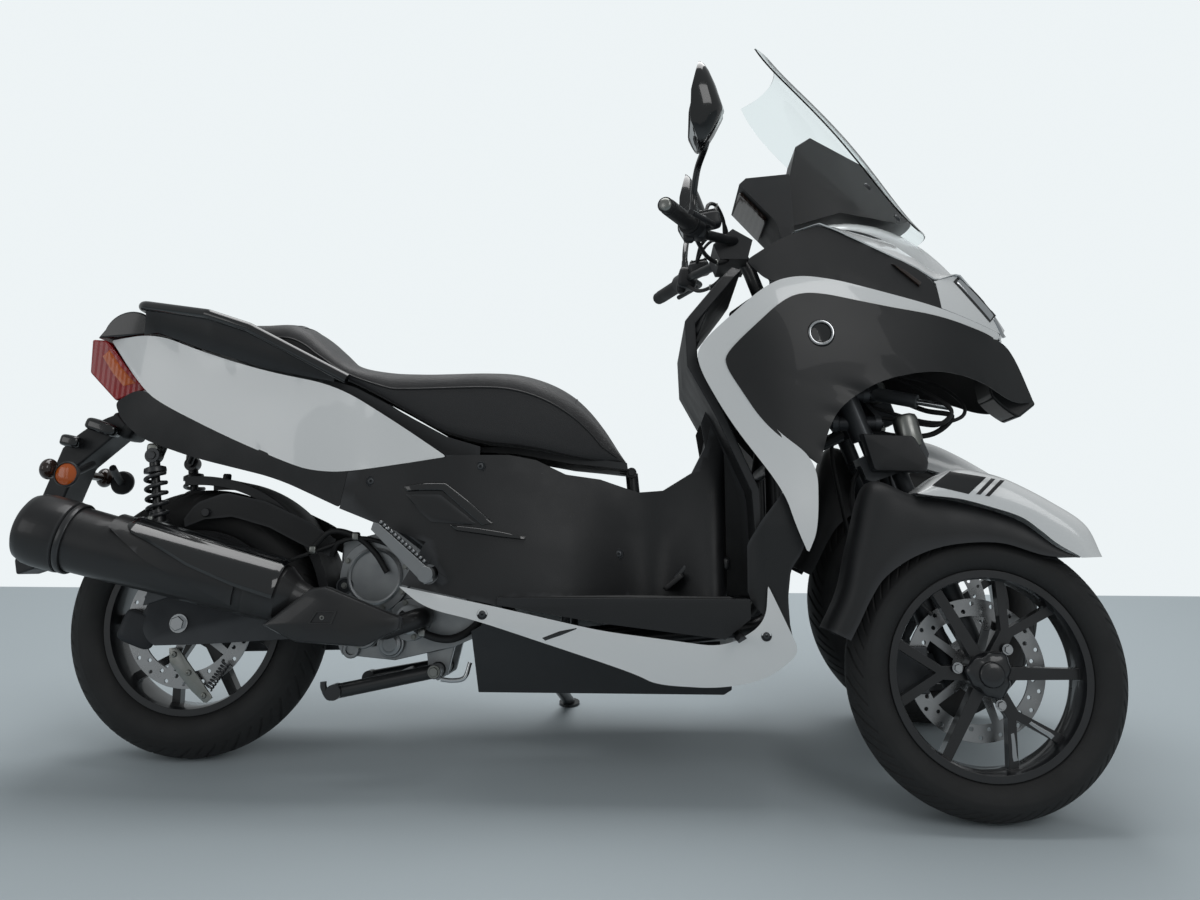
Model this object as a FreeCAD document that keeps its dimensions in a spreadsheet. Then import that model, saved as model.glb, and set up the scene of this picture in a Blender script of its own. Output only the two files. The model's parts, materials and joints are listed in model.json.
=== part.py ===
"""A leaning three-wheeled scooter, parked on its side stand.

Every piece is drawn upright in the vehicle's own frame, in millimetres: +X forward from the rear axle,
+Y to the rider's left and +Z up from the ground. One placement then leans the whole vehicle over its
tyres, and the two front ends follow the tilt linkage, which keeps both front tyres on the ground.
"""

import FreeCAD, Part
import Sketcher
import math
import os
import re
from FreeCAD import Placement, Rotation, Vector

SIZES = {
    # stance
    "wheelbase": 1595, "lean_angle": 14, "crown_radius": 70, "rake_angle": 20, "trail": 68,
    "arm_half": 155, "kingpin_offset": 80,
    # fits
    "panel_wall": 3, "panel_seam": 0.6, "run_gap": 0.3, "swing_gap": 5,
    # wheels
    "rim_radius": 178, "rim_lip": 10, "rim_lip_width": 4.5, "rim_wall": 7, "hub_radius": 38, "axle_radius": 10,
    "front_tyre_radius": 262, "front_tyre_width": 120, "front_rim_width": 90,
    "rear_tyre_radius": 276, "rear_tyre_width": 140, "rear_rim_width": 106,
    "bead_gap": 0.02, "shoulder_share": 0.93, "sidewall_radius": 34,
    "spoke_depth": 30, "spoke_offset": 6, "spoke_width": 24, "spoke_spread": 18,
    "disc_radius": 133, "disc_track": 33, "disc_wall": 5, "disc_gap": 6, "disc_hole": 4,
    # front forks
    "fork_tube_radius": 17, "fork_leg_radius": 23, "fork_spacing": 66, "fork_gap": 9,
    "kingpin_radius": 11, "side_tube_radius": 24, "side_tube_length": 120, "side_tube_height": 765,
    "fender_gap": 10, "fender_half_width": 76,
    "arm_width": 34, "arm_plate": 12, "arm_pin": 8, "boss_radius": 15, "boss_reach": 38, "column_radius": 27,
    # steering
    "bar_radius": 11, "bar_half": 372, "bar_height": 1085, "grip_radius": 17, "grip_length": 125,
    "stem_radius": 16, "control_radius": 24, "mirror_out": 328, "mirror_height": 1300,
    # body
    "tail_half": 178, "side_half": 208, "skirt_half": 248, "shield_half": 272, "floor_height": 336,
    "floor_wall": 12, "frame_tube_radius": 17, "stay_radius": 9, "frame_half": 150, "peg_foot": 4, "pan_half": 206,
    # seat
    "seat_height": 806, "pillion_height": 912, "seat_half": 160, "seat_round": 34, "seat_pan_wall": 14, "pan_share": 0.62,
    "hinge_pin": 6, "hinge_height": 592,
    # running gear
    "engine_half": 82, "case_width": 94, "arm_wall": 26, "muffler_radius": 66, "header_radius": 20,
    "shock_radius": 24, "shock_half": 103, "shock_pin": 8, "spring_wire": 5, "mudguard_gap": 22,
    "stand_leg_radius": 13, "side_foot_x": 776, "side_foot_out": 318, "side_foot_radius": 24,
    "centre_leg_radius": 14,
}

doc = FreeCAD.newDocument("leaning_trike")
sheet = doc.addObject("Spreadsheet::Sheet", "Sizes")
for row, (alias, number) in enumerate(SIZES.items(), start=1):
    sheet.set("A%d" % row, alias.replace("_", " "))
    sheet.set("B%d" % row, str(number))
    sheet.setAlias("B%d" % row, alias)
doc.recompute()

ALIASES = re.compile(r"\b(%s)\b" % "|".join(SIZES))
RIGHT, LEFT = -1, 1
SIDE_NAMES = {RIGHT: "right", LEFT: "left"}
FORWARD, ACROSS, UPWARD = Vector(1, 0, 0), Vector(0, 1, 0), Vector(0, 0, 1)
# Each view plane has its turn from the ground plane and the name of a body's own plane like it.
PLANES = {
    "side": (Rotation(FORWARD, 90), "XZ_Plane"),
    "front": (Rotation(Vector(1, 1, 1), 120), "YZ_Plane"),
    "plan": (Rotation(), "XY_Plane"),
}
WIDE = 600
nodes = {}
rooms = {}


# Values from the sheet

def formula(text):
    """An expression over the sheet's aliases, as an object of the document reads it."""
    return ALIASES.sub(r"Sizes.\1", str(text))


def amount(text):
    """The number that an expression over the sheet gives now."""
    return float(sheet.evalExpression(str(text)))


def bind(item, **texts):
    """Bind properties of an object to expressions over the sheet."""
    for name, text in texts.items():
        item.setExpression(name, formula(text))
    return item


def at(x, y, z):
    """A point whose coordinates are expressions or numbers."""
    return Vector(amount(x), amount(y), amount(z))


def front(dx, z):
    """A side-view corner measured forward from the front axle and up from the ground."""
    return ("wheelbase + %s" % dx, z)


# Stance

lean = math.radians(amount("lean_angle"))
arm_swing = lean + math.asin(amount("kingpin_offset / arm_half") * math.sin(lean))
wheel_shift_y = amount("arm_half") * math.cos(arm_swing) + amount("kingpin_offset")
wheel_shift_z = amount("arm_half") * math.sin(arm_swing)
rake = math.radians(amount("rake_angle"))
KING_UP = Vector(-math.sin(rake), 0, math.cos(rake))


def leaned():
    """The placement that leans the upright vehicle to its left over the tyres' crowns."""
    roll = Rotation(FORWARD, -amount("lean_angle"))
    crown = UPWARD * amount("crown_radius")
    return Placement(crown - roll.multVec(crown), roll)


def on_front_end(side):
    """The placement of one front end, whose own frame has the wheel's mid-plane at y = 0."""
    shift = Vector(0, side * wheel_shift_y, side * wheel_shift_z)
    return leaned().multiply(Placement(shift, Rotation()))


def keep(label, item, placement=None):
    """Give a finished sub-part its own label and stand it in its place."""
    item.Label = label
    item.Placement = (placement if placement else leaned()).multiply(item.Placement)
    nodes[label] = item
    return item


# Sketches

def arc_between(start, end, radius):
    """The arc from start to end: a positive radius turns left on the way, a negative one right."""
    chord = end - start
    rise = math.sqrt(max(radius ** 2 - chord.Length ** 2 / 4, 0))
    left = Vector(-chord.y, chord.x, 0).normalize()
    centre = (start + end) * 0.5 + left * math.copysign(rise, radius)
    first, last = (start, end) if radius > 0 else (end, start)
    turns = [math.atan2(p.y - centre.y, p.x - centre.x) for p in (first, last)]
    return Part.ArcOfCircle(Part.Circle(centre, UPWARD, abs(radius)), *turns)


def draw(label, corners, plane="side", arcs=None, holes=(), base=None, body=None, lift=0):
    """A closed sketch: its corners, arcs and round holes are bound to the sheet.

    arcs maps a corner's number to the radius of the edge that leaves it. Each hole is (x, y, radius).
    """
    arcs = arcs or {}
    turn, role = PLANES[plane]
    if body:
        sketch = body.newObject("Sketcher::SketchObject", label)
        own_plane = next(item for item in body.Origin.OriginFeatures if item.Role == role)
        sketch.AttachmentSupport = [(own_plane, "")]
        sketch.MapMode = "FlatFace"
        sketch.AttachmentOffset = Placement(UPWARD * amount(lift), Rotation())
    else:
        sketch = doc.addObject("Sketcher::SketchObject", label)
        sketch.Placement = Placement(base if base else Vector(), turn)
    spots = [Vector(amount(x), amount(y), 0) for x, y in corners]
    geometry = []
    ends = []
    for index, (start, end) in enumerate(zip(spots, spots[1:] + spots[:1])):
        radius = amount(arcs.get(index, 0))
        geometry.append(arc_between(start, end, radius) if radius else Part.LineSegment(start, end))
        ends.append((2, 1) if radius < 0 else (1, 2))
    geometry += [Part.Circle(Vector(amount(x), amount(y), 0), UPWARD, amount(radius)) for x, y, radius in holes]
    sketch.addGeometry(geometry)
    count = len(spots)
    rules = []
    texts = []
    for index in range(count):
        after = (index + 1) % count
        rules.append(Sketcher.Constraint("Coincident", index, ends[index][1], after, ends[after][0]))
        texts.append(None)
    marks = [(index, ends[index][0], x, y) for index, (x, y) in enumerate(corners)]
    marks += [(count + index, 3, x, y) for index, (x, y, _) in enumerate(holes)]
    for index, end, x, y in marks:
        for kind, text in (("DistanceX", x), ("DistanceY", y)):
            rules.append(Sketcher.Constraint(kind, index, end, amount(text)))
            texts.append(text)
    rounds = list(arcs.items()) + [(count + index, radius) for index, (_, _, radius) in enumerate(holes)]
    for index, text in rounds:
        rules.append(Sketcher.Constraint("Radius", index, abs(amount(text))))
        texts.append("abs(%s)" % text)
    sketch.addConstraint(rules)
    for number, text in enumerate(texts):
        if isinstance(text, str) and ALIASES.search(text):
            sketch.setExpression("Constraints[%d]" % number, formula(text))
    return sketch


# Solids from sketches, bars and booleans

def extruded(label, outline, low, high, along=ACROSS):
    """An outline or face carried from low to high along one axis."""
    item = doc.addObject("Part::Extrusion", label)
    item.Base = outline
    item.DirMode = "Custom"
    item.Dir = along
    item.Solid = True
    return bind(item, LengthFwd=high, LengthRev="-(%s)" % low)


def slab(label, corners, low, high, **more):
    """A side-view outline carried across the vehicle between two y values."""
    return extruded(label, draw(label + "_outline", corners, **more), low, high)


def grown(label, outline, low, high, gap="run_gap"):
    """The room that a slab takes up with a gap all round its outline."""
    ring = doc.addObject("Part::Offset2D", label + "_ring")
    ring.Source = outline
    bind(ring, Value=gap)
    return extruded(label, ring, low, high)


def revolved(label, outline, centre=Vector(), along=ACROSS):
    """A profile turned once round an axis."""
    item = doc.addObject("Part::Revolution", label)
    item.Source = outline
    item.Base = centre
    item.Axis = along
    item.Angle = 360
    item.Solid = True
    return item


def bar(label, start, end, radius):
    """A round bar from one point to another."""
    item = doc.addObject("Part::Cylinder", label)
    run = end - start
    item.Height = run.Length
    item.Placement = Placement(start, Rotation(UPWARD, run))
    return bind(item, Radius=radius)


def cone(label, start, end, start_radius, end_radius):
    """A tapered bar from one point to another."""
    item = doc.addObject("Part::Cone", label)
    run = end - start
    item.Height = run.Length
    item.Placement = Placement(start, Rotation(UPWARD, run))
    return bind(item, Radius1=start_radius, Radius2=end_radius)


def fused(label, items, refine=True):
    """Solids joined into one. Refining merges faces that lie on one surface."""
    item = doc.addObject("Part::MultiFuse", label)
    item.Shapes = list(items)
    item.Refine = refine
    return item


def cut(label, base, tool):
    """A solid with another taken out of it."""
    item = doc.addObject("Part::Cut", label)
    item.Base = base
    item.Tool = tool
    return item


def common(label, items):
    """What all the given solids share."""
    item = doc.addObject("Part::MultiCommon", label)
    item.Shapes = list(items)
    return item


def twin(label, item):
    """The mirror image on the other side of the vehicle."""
    mirror = doc.addObject("Part::Mirroring", label)
    mirror.Source = item
    mirror.Base = Vector()
    mirror.Normal = ACROSS
    return mirror


def group(label, items):
    """Solids that don't touch, kept as one sub-part."""
    item = doc.addObject("Part::Compound", label)
    item.Links = list(items)
    return item


def both_sides(label, item):
    """A right-hand solid and its left-hand twin."""
    return group(label, [item, twin(label + "_twin", item)])


def on_side(label, item, side):
    """The solid itself for the right side, or its mirror image for the left."""
    return item if side == RIGHT else twin(label, item)


def tube_path(points, bend):
    """Straight runs joined by tangent arcs of one bend radius."""
    edges = []
    last = points[0]
    for before, corner, after in zip(points, points[1:], points[2:]):
        to_before = (before - corner).normalize()
        to_after = (after - corner).normalize()
        half = to_before.getAngle(to_after) / 2
        reach = bend / math.tan(half)
        entry = corner + to_before * reach
        leave = corner + to_after * reach
        centre = corner + (to_before + to_after).normalize() * (bend / math.sin(half))
        middle = centre + (corner - centre).normalize() * bend
        edges.append(Part.LineSegment(last, entry).toShape())
        edges.append(Part.Arc(entry, middle, leave).toShape())
        last = leave
    edges.append(Part.LineSegment(last, points[-1]).toShape())
    return Part.Wire(edges)


def tube(label, points, radius, bend):
    """A round tube swept along a bent path."""
    path = doc.addObject("Part::Feature", label + "_path")
    path.Shape = tube_path(points, bend)
    ring = doc.addObject("Part::Circle", label + "_ring")
    ring.Placement = Placement(points[0], Rotation(UPWARD, points[1] - points[0]))
    bind(ring, Radius=radius)
    item = doc.addObject("Part::Sweep", label)
    item.Sections = [ring]
    item.Spine = (path, ["Edge%d" % (number + 1) for number in range(len(path.Shape.Edges))])
    item.Solid = True
    item.Frenet = False
    return item


def loft(label, sections):
    """A smooth solid through closed sections."""
    item = doc.addObject("Part::Loft", label)
    item.Sections = list(sections)
    item.Solid = True
    return item


# Skins and panels

def skin_between(label, rows):
    """A smooth face through rows of points."""
    surface = Part.BSplineSurface()
    surface.interpolate(rows)
    face = doc.addObject("Part::Feature", label)
    face.Shape = surface.toShape()
    return face


def side_skin(label, stations, heights, half_width):
    """A smooth right-hand skin: half_width(x, z) gives its distance from the middle."""
    spots = sorted(amount(x) for x in stations)
    return skin_between(label, [[Vector(x, -half_width(x, z), z) for z in heights] for x in spots])


def panel(label, skin, corners, beside=(), wall="panel_wall"):
    """The part of a skin inside a side-view outline, and the room that a stay must leave it.

    beside names the panels whose outlines this one meets along a seam.
    """
    outline = draw(label + "_outline", corners)
    window = extruded(label + "_window", outline, -WIDE, 0)
    piece = common(label + "_piece", [extruded(label + "_plate", skin, 0, wall), window])
    for number, other in enumerate(beside):
        seam = grown("%s_seam%d" % (label, number), other, -WIDE, 0, "panel_seam")
        piece = cut("%s_cut%d" % (label, number), piece, seam)
    behind = extruded(label + "_behind", skin, -WIDE, "%s + run_gap" % wall)
    rooms[label] = common(label + "_room", [behind, grown(label + "_around", outline, -WIDE, 0)])
    return piece, outline


def blend(value, stops):
    """Straight-line interpolation between (position, amount) stops."""
    if value <= stops[0][0]:
        return stops[0][1]
    for (a, low), (b, high) in zip(stops, stops[1:]):
        if value <= b:
            return low + (high - low) * (value - a) / (b - a)
    return stops[-1][1]


def at_front(stops):
    """Stops whose positions are measured forward from the front axle."""
    return [(amount("wheelbase") + dx, value) for dx, value in stops]


# Wheels

def new_body(label):
    """An empty body for features."""
    return doc.addObject("PartDesign::Body", label)


def turned(body, label, corners, arcs=None):
    """A profile in the front view, turned about the axle and added to a body."""
    sketch = draw(label + "_profile", corners, "front", arcs, body=body)
    item = body.newObject("PartDesign::Revolution", label)
    item.Profile = sketch
    item.ReferenceAxis = (sketch, ["H_Axis"])
    item.Angle = 360
    return item


def padded(body, label, sketch, thickness):
    """A sketch padded evenly to both sides of its plane."""
    item = body.newObject("PartDesign::Pad", label)
    item.Profile = sketch
    item.Midplane = True
    return bind(item, Length=thickness)


def repeated(body, label, feature, count):
    """A feature repeated round the axle."""
    item = body.newObject("PartDesign::PolarPattern", label)
    item.Originals = [feature]
    axle = next(axis for axis in body.Origin.OriginFeatures if axis.Role == "Y_Axis")
    item.Axis = (axle, [""])
    item.Angle = 360
    item.Occurrences = count
    body.Tip = item
    return item


def tyre(label, radius, width, rim_width):
    """A tyre: a crown arc across the tread, round shoulders and sidewalls down to the beads."""
    foot = "(%s / 2 - rim_lip_width - bead_gap)" % rim_width
    bead = "rim_radius + bead_gap"
    over_lip = "rim_radius + rim_lip + 1"
    shoulder = "(%s / 2 * shoulder_share)" % width
    edge = "%s - crown_radius + sqrt(crown_radius ^ 2 - %s ^ 2)" % (radius, shoulder)
    corners = [("-" + foot, bead), (foot, bead), (foot, over_lip), (shoulder, edge),
               ("-" + shoulder, edge), ("-" + foot, over_lip)]
    body = new_body(label + "_body")
    turned(body, label + "_turned", corners, {2: "sidewall_radius", 3: "crown_radius", 4: "sidewall_radius"})
    return body


def rim(label, width, inboard):
    """A cast rim: hub, three straight spokes, three forked ones, and a barrel with two lips."""
    body = new_body(label + "_body")
    bore = "axle_radius + run_gap"
    hub_half = "%s * 0.36" % width
    turned(body, label + "_hub", [("-" + hub_half, bore), (inboard, bore), (inboard, "hub_radius * 0.8"),
                                  ("spoke_depth / 2", "hub_radius"), ("-spoke_depth * 0.7", "hub_radius"),
                                  ("-" + hub_half, "hub_radius * 0.75")])
    start = "hub_radius * 0.8"
    reach = "(rim_radius - rim_wall / 2)"
    half = "spoke_width / 2"
    straight = draw(label + "_straight_outline",
                    [(start, "-" + half), (reach, "-%s * 0.8" % half), (reach, "%s * 0.8" % half), (start, half)],
                    body=body, lift="spoke_offset")
    doc.recompute()
    spoke = padded(body, label + "_straight", straight, "spoke_depth")
    repeated(body, label + "_straights", spoke, 3)
    tips = []
    for turn in ("spoke_spread + 3", "spoke_spread - 3"):
        tips.append(("-%s * cos(%s)" % (reach, turn), "%s * sin(%s)" % (reach, turn)))
    lower = [(x, "-" + y) for x, y in reversed(tips)]
    crotch = "-hub_radius * 2.5"
    fork = [("-" + start, "-%s * 1.15" % half), ("-" + start, "%s * 1.15" % half), ("-hub_radius * 2.2", half)]
    fork += tips + [(crotch, 0)] + lower + [("-hub_radius * 2.2", "-" + half)]
    forked = draw(label + "_forked_outline", fork, body=body, lift="spoke_offset")
    spoke = padded(body, label + "_forked", forked, "spoke_depth * 0.85")
    repeated(body, label + "_forks", spoke, 3)
    side = "%s / 2" % width
    lip = "rim_radius + rim_lip"
    under = "rim_radius - rim_wall"
    turned(body, label + "_barrel", [
        ("-" + side, lip), ("-%s + rim_lip_width" % side, lip), ("-%s + rim_lip_width" % side, "rim_radius"),
        ("%s - rim_lip_width" % side, "rim_radius"), ("%s - rim_lip_width" % side, lip), (side, lip),
        (side, "rim_radius - rim_wall / 2"), ("%s * 0.7" % side, under), ("-%s * 0.7" % side, under),
        ("-" + side, "rim_radius - rim_wall / 2")])
    return body


def disc(label, low):
    """A drilled brake disc on five carrier arms, its outboard face at y = low."""
    body = new_body(label + "_body")
    high = "%s + disc_wall" % low
    track = "disc_radius - disc_track"
    rotor = [(low, track), (high, track), (high, "disc_radius"), (low, "disc_radius")]
    turned(body, label + "_rotor", rotor)
    middle = "-(%s + disc_wall / 2)" % low
    arm = draw(label + "_arm_outline", [("axle_radius + 20", -9), ("disc_radius - disc_track + 4", -7),
                                        ("disc_radius - disc_track + 4", 7), ("axle_radius + 20", 9)],
               body=body, lift=middle)
    doc.recompute()
    repeated(body, label + "_arms", padded(body, label + "_arm", arm, "disc_wall"), 5)
    carrier = [(low, "axle_radius + 14"), (high, "axle_radius + 14"), (high, "hub_radius + 8"), (low, "hub_radius + 8")]
    turned(body, label + "_carrier", carrier)
    for number, (radius, phase) in enumerate((("disc_radius - disc_track * 0.28", 0), ("disc_radius - disc_track * 0.72", 9))):
        spot = ("(%s) * cos(%d)" % (radius, phase), "(%s) * sin(%d)" % (radius, phase), "disc_hole")
        hole = draw("%s_hole%d_outline" % (label, number), [], holes=[spot], body=body, lift=middle)
        pocket = body.newObject("PartDesign::Pocket", "%s_hole%d" % (label, number))
        pocket.Profile = hole
        pocket.Midplane = True
        bind(pocket, Length="disc_wall * 2")
        repeated(body, "%s_holes%d" % (label, number), pocket, 20)
    return body


def front_wheel(side):
    """One front wheel in its front end's frame, its disc inboard: the left one is turned half round."""
    name = SIDE_NAMES[side]
    centre = Placement(at("wheelbase", 0, "front_tyre_radius"), Rotation(UPWARD, 180 if side == LEFT else 0))
    inboard = "front_rim_width / 2 + disc_gap - run_gap"
    pieces = {
        "front_tyre_": tyre("front_tyre_" + name, "front_tyre_radius", "front_tyre_width", "front_rim_width"),
        "front_rim_": rim("front_rim_" + name, "front_rim_width", inboard),
        "front_disc_": disc("front_disc_" + name, "front_rim_width / 2 + disc_gap"),
    }
    for label, body in pieces.items():
        body.Placement = centre
        keep(label + name, body, on_front_end(side))


def rear_wheel():
    """The driven rear wheel, with its disc on the right."""
    centre = Placement(at(0, 0, "rear_tyre_radius"), Rotation(UPWARD, 180))
    inboard = "rear_rim_width / 2 + disc_gap - run_gap"
    pieces = {
        "rear_tyre": tyre("rear_tyre", "rear_tyre_radius", "rear_tyre_width", "rear_rim_width"),
        "rear_rim": rim("rear_rim", "rear_rim_width", inboard),
        "rear_disc": disc("rear_disc", "rear_rim_width / 2 + disc_gap"),
    }
    for label, body in pieces.items():
        body.Placement = centre
        keep(label, body)


# Front ends

def kingpin_x(z):
    """The kingpin line's x at a height in the front end's frame."""
    return amount("wheelbase + trail") - z * math.tan(rake)


def leg_y():
    """The fork legs' distance inboard from the wheel's mid-plane."""
    return amount("front_tyre_width / 2 + fork_gap + fork_leg_radius")


def front_fork(side):
    """A cantilevered fork: two telescopic legs inboard of the wheel, its yoke and kingpin."""
    name = "fork_" + SIDE_NAMES[side]
    axle = at("wheelbase", leg_y(), "front_tyre_radius")
    half = amount("fork_spacing / 2")
    leg_run = amount("front_tyre_radius + fender_gap + 60")
    pieces = []
    for number, shift in enumerate((-half, half)):
        foot = axle + Vector(shift, 0, -30)
        pieces.append(bar("%s_leg%d" % (name, number), foot, foot + KING_UP * leg_run, "fork_leg_radius"))
        pieces.append(bar("%s_tube%d" % (name, number), foot + KING_UP * (leg_run - 20),
                          foot + KING_UP * 455, "fork_tube_radius"))
    pieces.append(bar(name + "_lug", axle - ACROSS * 21, axle + ACROSS * 21, "fork_leg_radius + 13"))
    pieces.append(bar(name + "_axle", axle - ACROSS * (leg_y() + 40), axle, "axle_radius"))
    height = amount("side_tube_height")
    mid = Vector(kingpin_x(height), amount("kingpin_offset"), height)
    tube_half = amount("side_tube_length / 2")
    pieces.append(bar(name + "_kingpin", mid - KING_UP * (tube_half + 70), mid + KING_UP * (tube_half + 16),
                      "kingpin_radius"))
    pieces.append(bar(name + "_nut", mid + KING_UP * (tube_half + 4), mid + KING_UP * (tube_half + 18),
                      "kingpin_radius + 8"))
    yoke_y = leg_y() - amount("kingpin_offset")
    yoke = slab(name + "_yoke", [(-28, -44), (-18, -54), (100, -54), (112, -40), (112, -8), (100, 0), (-28, 0)],
                -27 + yoke_y, 27 + yoke_y)
    yoke.Placement = Placement(mid - KING_UP * (tube_half + 32), Rotation(ACROSS, -amount("rake_angle")))
    pieces.append(yoke)
    bracket = slab(name + "_bracket", [front(-96, "front_tyre_radius - 26"), front(-30, "front_tyre_radius - 30"),
                                       front(-30, "front_tyre_radius + 30"), front(-96, "front_tyre_radius + 26")],
                   leg_y() - 12, leg_y() + 6)
    pieces.append(bracket)
    fork = fused(name + "_whole", pieces, refine=False)
    keep(name, on_side(name + "_twin", fork, side), on_front_end(side))


def front_caliper(side):
    """The front brake caliper, a bridge over the disc's rear edge with a pad housing on each side."""
    name = "caliper_" + SIDE_NAMES[side]
    face = "front_rim_width / 2 + disc_gap"
    slot_low = "%s - swing_gap" % face
    slot_high = "%s + disc_wall + swing_gap" % face
    outer = "wheelbase - rim_radius + rim_wall"
    inner = "wheelbase - disc_radius + disc_track + 4"
    bridge = "wheelbase - disc_radius - swing_gap"
    low = "%s - 16" % slot_low
    high = leg_y() - 12 - amount("run_gap")
    corners = [(outer, low), (inner, low), (inner, slot_low), (bridge, slot_low), (bridge, slot_high),
               (inner, slot_high), (inner, high), (outer, high)]
    block = extruded(name + "_block", draw(name + "_outline", corners, "plan"),
                     "front_tyre_radius - 44", "front_tyre_radius + 44", UPWARD)
    centre = at("wheelbase", 0, "front_tyre_radius")
    barrel = bar(name + "_reach", centre, centre + ACROSS * 120, "rim_radius - rim_wall - swing_gap")
    caliper = common(name + "_trimmed", [block, barrel])
    keep(name, on_side(name + "_twin", caliper, side), on_front_end(side))


def hood(label, corners, low, high):
    """A moulded cover: one outline in side view, hollow from below, over the tyre's clearance circle."""
    outline = draw(label + "_outline", corners)
    outer = extruded(label + "_outer", outline, low, high)
    inner = grown(label + "_inner", outline, "%s + panel_wall" % low, "%s - panel_wall" % high, "-panel_wall")
    centre = at("wheelbase", -200, "front_tyre_radius")
    clear = bar(label + "_arch", centre, centre + ACROSS * 400, "front_tyre_radius + fender_gap")
    return cut(label + "_open", cut(label + "_hollow", outer, inner), clear), outline


def front_fender(side):
    """The black front mudguard round the back and top of the tyre, and its raised cap in front."""
    name = SIDE_NAMES[side]
    inboard = "front_tyre_width / 2 + fork_gap - run_gap"
    outboard = "-fender_half_width"
    rise = lambda dz: "front_tyre_radius + %s" % dz
    black = [front(-303, rise(79)), front(-269, rise(149)), front(-246, rise(238)), front(-206, rise(352)),
             front(-124, rise(330)), front(-42, rise(318)), front(69, rise(285)), front(133, rise(236)),
             front(172, rise(214)), front(120, rise(190)), front(-80, rise(180)), front(-190, rise(120)),
             front(-262, rise(60))]
    fender, outline = hood("fender_" + name, black, outboard, inboard)
    keep("fender_" + name, on_side("fender_%s_twin" % name, fender, side), on_front_end(side))
    white = [front(-124, rise(331)), front(-34, rise(380)), front(65, rise(357)), front(142, rise(316)),
             front(201, rise(274)), front(225, rise(214)), front(176, rise(212)), front(133, rise(237)),
             front(69, rise(286)), front(-42, rise(319))]
    cap, _ = hood("fender_cap_" + name, white, "-fender_half_width + 2", "front_tyre_width / 2 - 8")
    room = grown("fender_cap_%s_seat" % name, outline, -WIDE, WIDE)
    cap = cut("fender_cap_%s_seated" % name, cap, room)
    keep("fender_cap_" + name, on_side("fender_cap_%s_twin" % name, cap, side), on_front_end(side))


def linkage_levels():
    """The heights of the two pairs of arms along the kingpin, from the side tube's middle."""
    return [share * amount("side_tube_length") for share in (-0.2, 0.34)]


def bosses(label, point):
    """The fore-and-aft bosses and pins that carry the arms at one tube."""
    reach = amount("boss_reach")
    pin = reach + amount("arm_plate + 2 * run_gap") + 4
    items = []
    for number, level in enumerate(linkage_levels()):
        middle = point + KING_UP * level
        items.append(bar("%s_boss%d" % (label, number), middle - FORWARD * reach, middle + FORWARD * reach, "boss_radius"))
        items.append(bar("%s_pin%d" % (label, number), middle - FORWARD * pin, middle + FORWARD * pin, "arm_pin"))
    return items


def tilt_linkage():
    """The parallelogram: two pairs of arms on a middle column, and a raked tube for each kingpin."""
    tube_half = amount("side_tube_length / 2")
    height = amount("side_tube_height")
    centre = Vector(kingpin_x(height), 0, height)
    tubes = []
    for side in (RIGHT, LEFT):
        name = "side_tube_" + SIDE_NAMES[side]
        swing = Vector(0, side * math.cos(arm_swing), side * math.sin(arm_swing)) * amount("arm_half")
        mid = centre + swing
        whole = fused(name + "_whole", [bar(name, mid - KING_UP * tube_half, mid + KING_UP * tube_half,
                                            "side_tube_radius")] + bosses(name, mid))
        bore = bar(name + "_bore", mid - KING_UP * tube_half * 1.2, mid + KING_UP * tube_half * 1.2,
                   "kingpin_radius + run_gap")
        tubes.append(cut(name + "_bored", whole, bore))
    keep("side_tubes", group("side_tubes_pair", tubes))
    arms = []
    half = "arm_width / 2"
    corners = [("-arm_half", "-" + half), ("arm_half", "-" + half), ("arm_half", half), ("-arm_half", half)]
    bore = "arm_pin + run_gap"
    for level in linkage_levels():
        for face in (-1, 1):
            name = "arm%d" % len(arms)
            sketch = draw(name + "_outline", corners, "front", {1: half + " + 0.5", 3: half + " + 0.5"},
                          [("-arm_half", 0, bore), (0, 0, bore), ("arm_half", 0, bore)])
            arm = extruded(name, sketch, 0, "arm_plate", FORWARD)
            offset = face * amount("boss_reach + run_gap + arm_plate / 2") - amount("arm_plate / 2")
            arm.Placement = Placement(centre + KING_UP * level + FORWARD * offset,
                                      Rotation(FORWARD, math.degrees(arm_swing)))
            arms.append(arm)
    keep("tilt_arms", group("tilt_arms_set", arms))
    return [bar("column", centre - KING_UP * 95, centre + KING_UP * 150, "column_radius")] + bosses("column", centre)


# Frame and running gear

def stem_axis():
    """A point on the handlebar's stem and the direction up it."""
    return at("wheelbase - 345", 0, 900), KING_UP


def side_stand_hinge():
    """The side stand's pivot and its fold axis, square to the leg both down and folded back."""
    pivot = at("side_foot_x - 36", 126, 190)
    down = Vector(36, 192, -113)
    back = Vector(-1, 0.42, -0.02)
    return pivot, down.cross(back).normalize()


def seat_post_line():
    """The foot and the top of the post that carries the seat's hinge."""
    return at("wheelbase - 635", 0, 257), at("wheelbase - 670", 0, "hinge_height")


ENGINE_HANGER = (582, 372)
CENTRE_PIVOT = (527, 186)
SHOCK_TOP = (-96, 618)
SHOCK_FOOT = (-50, 344.7)


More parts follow.
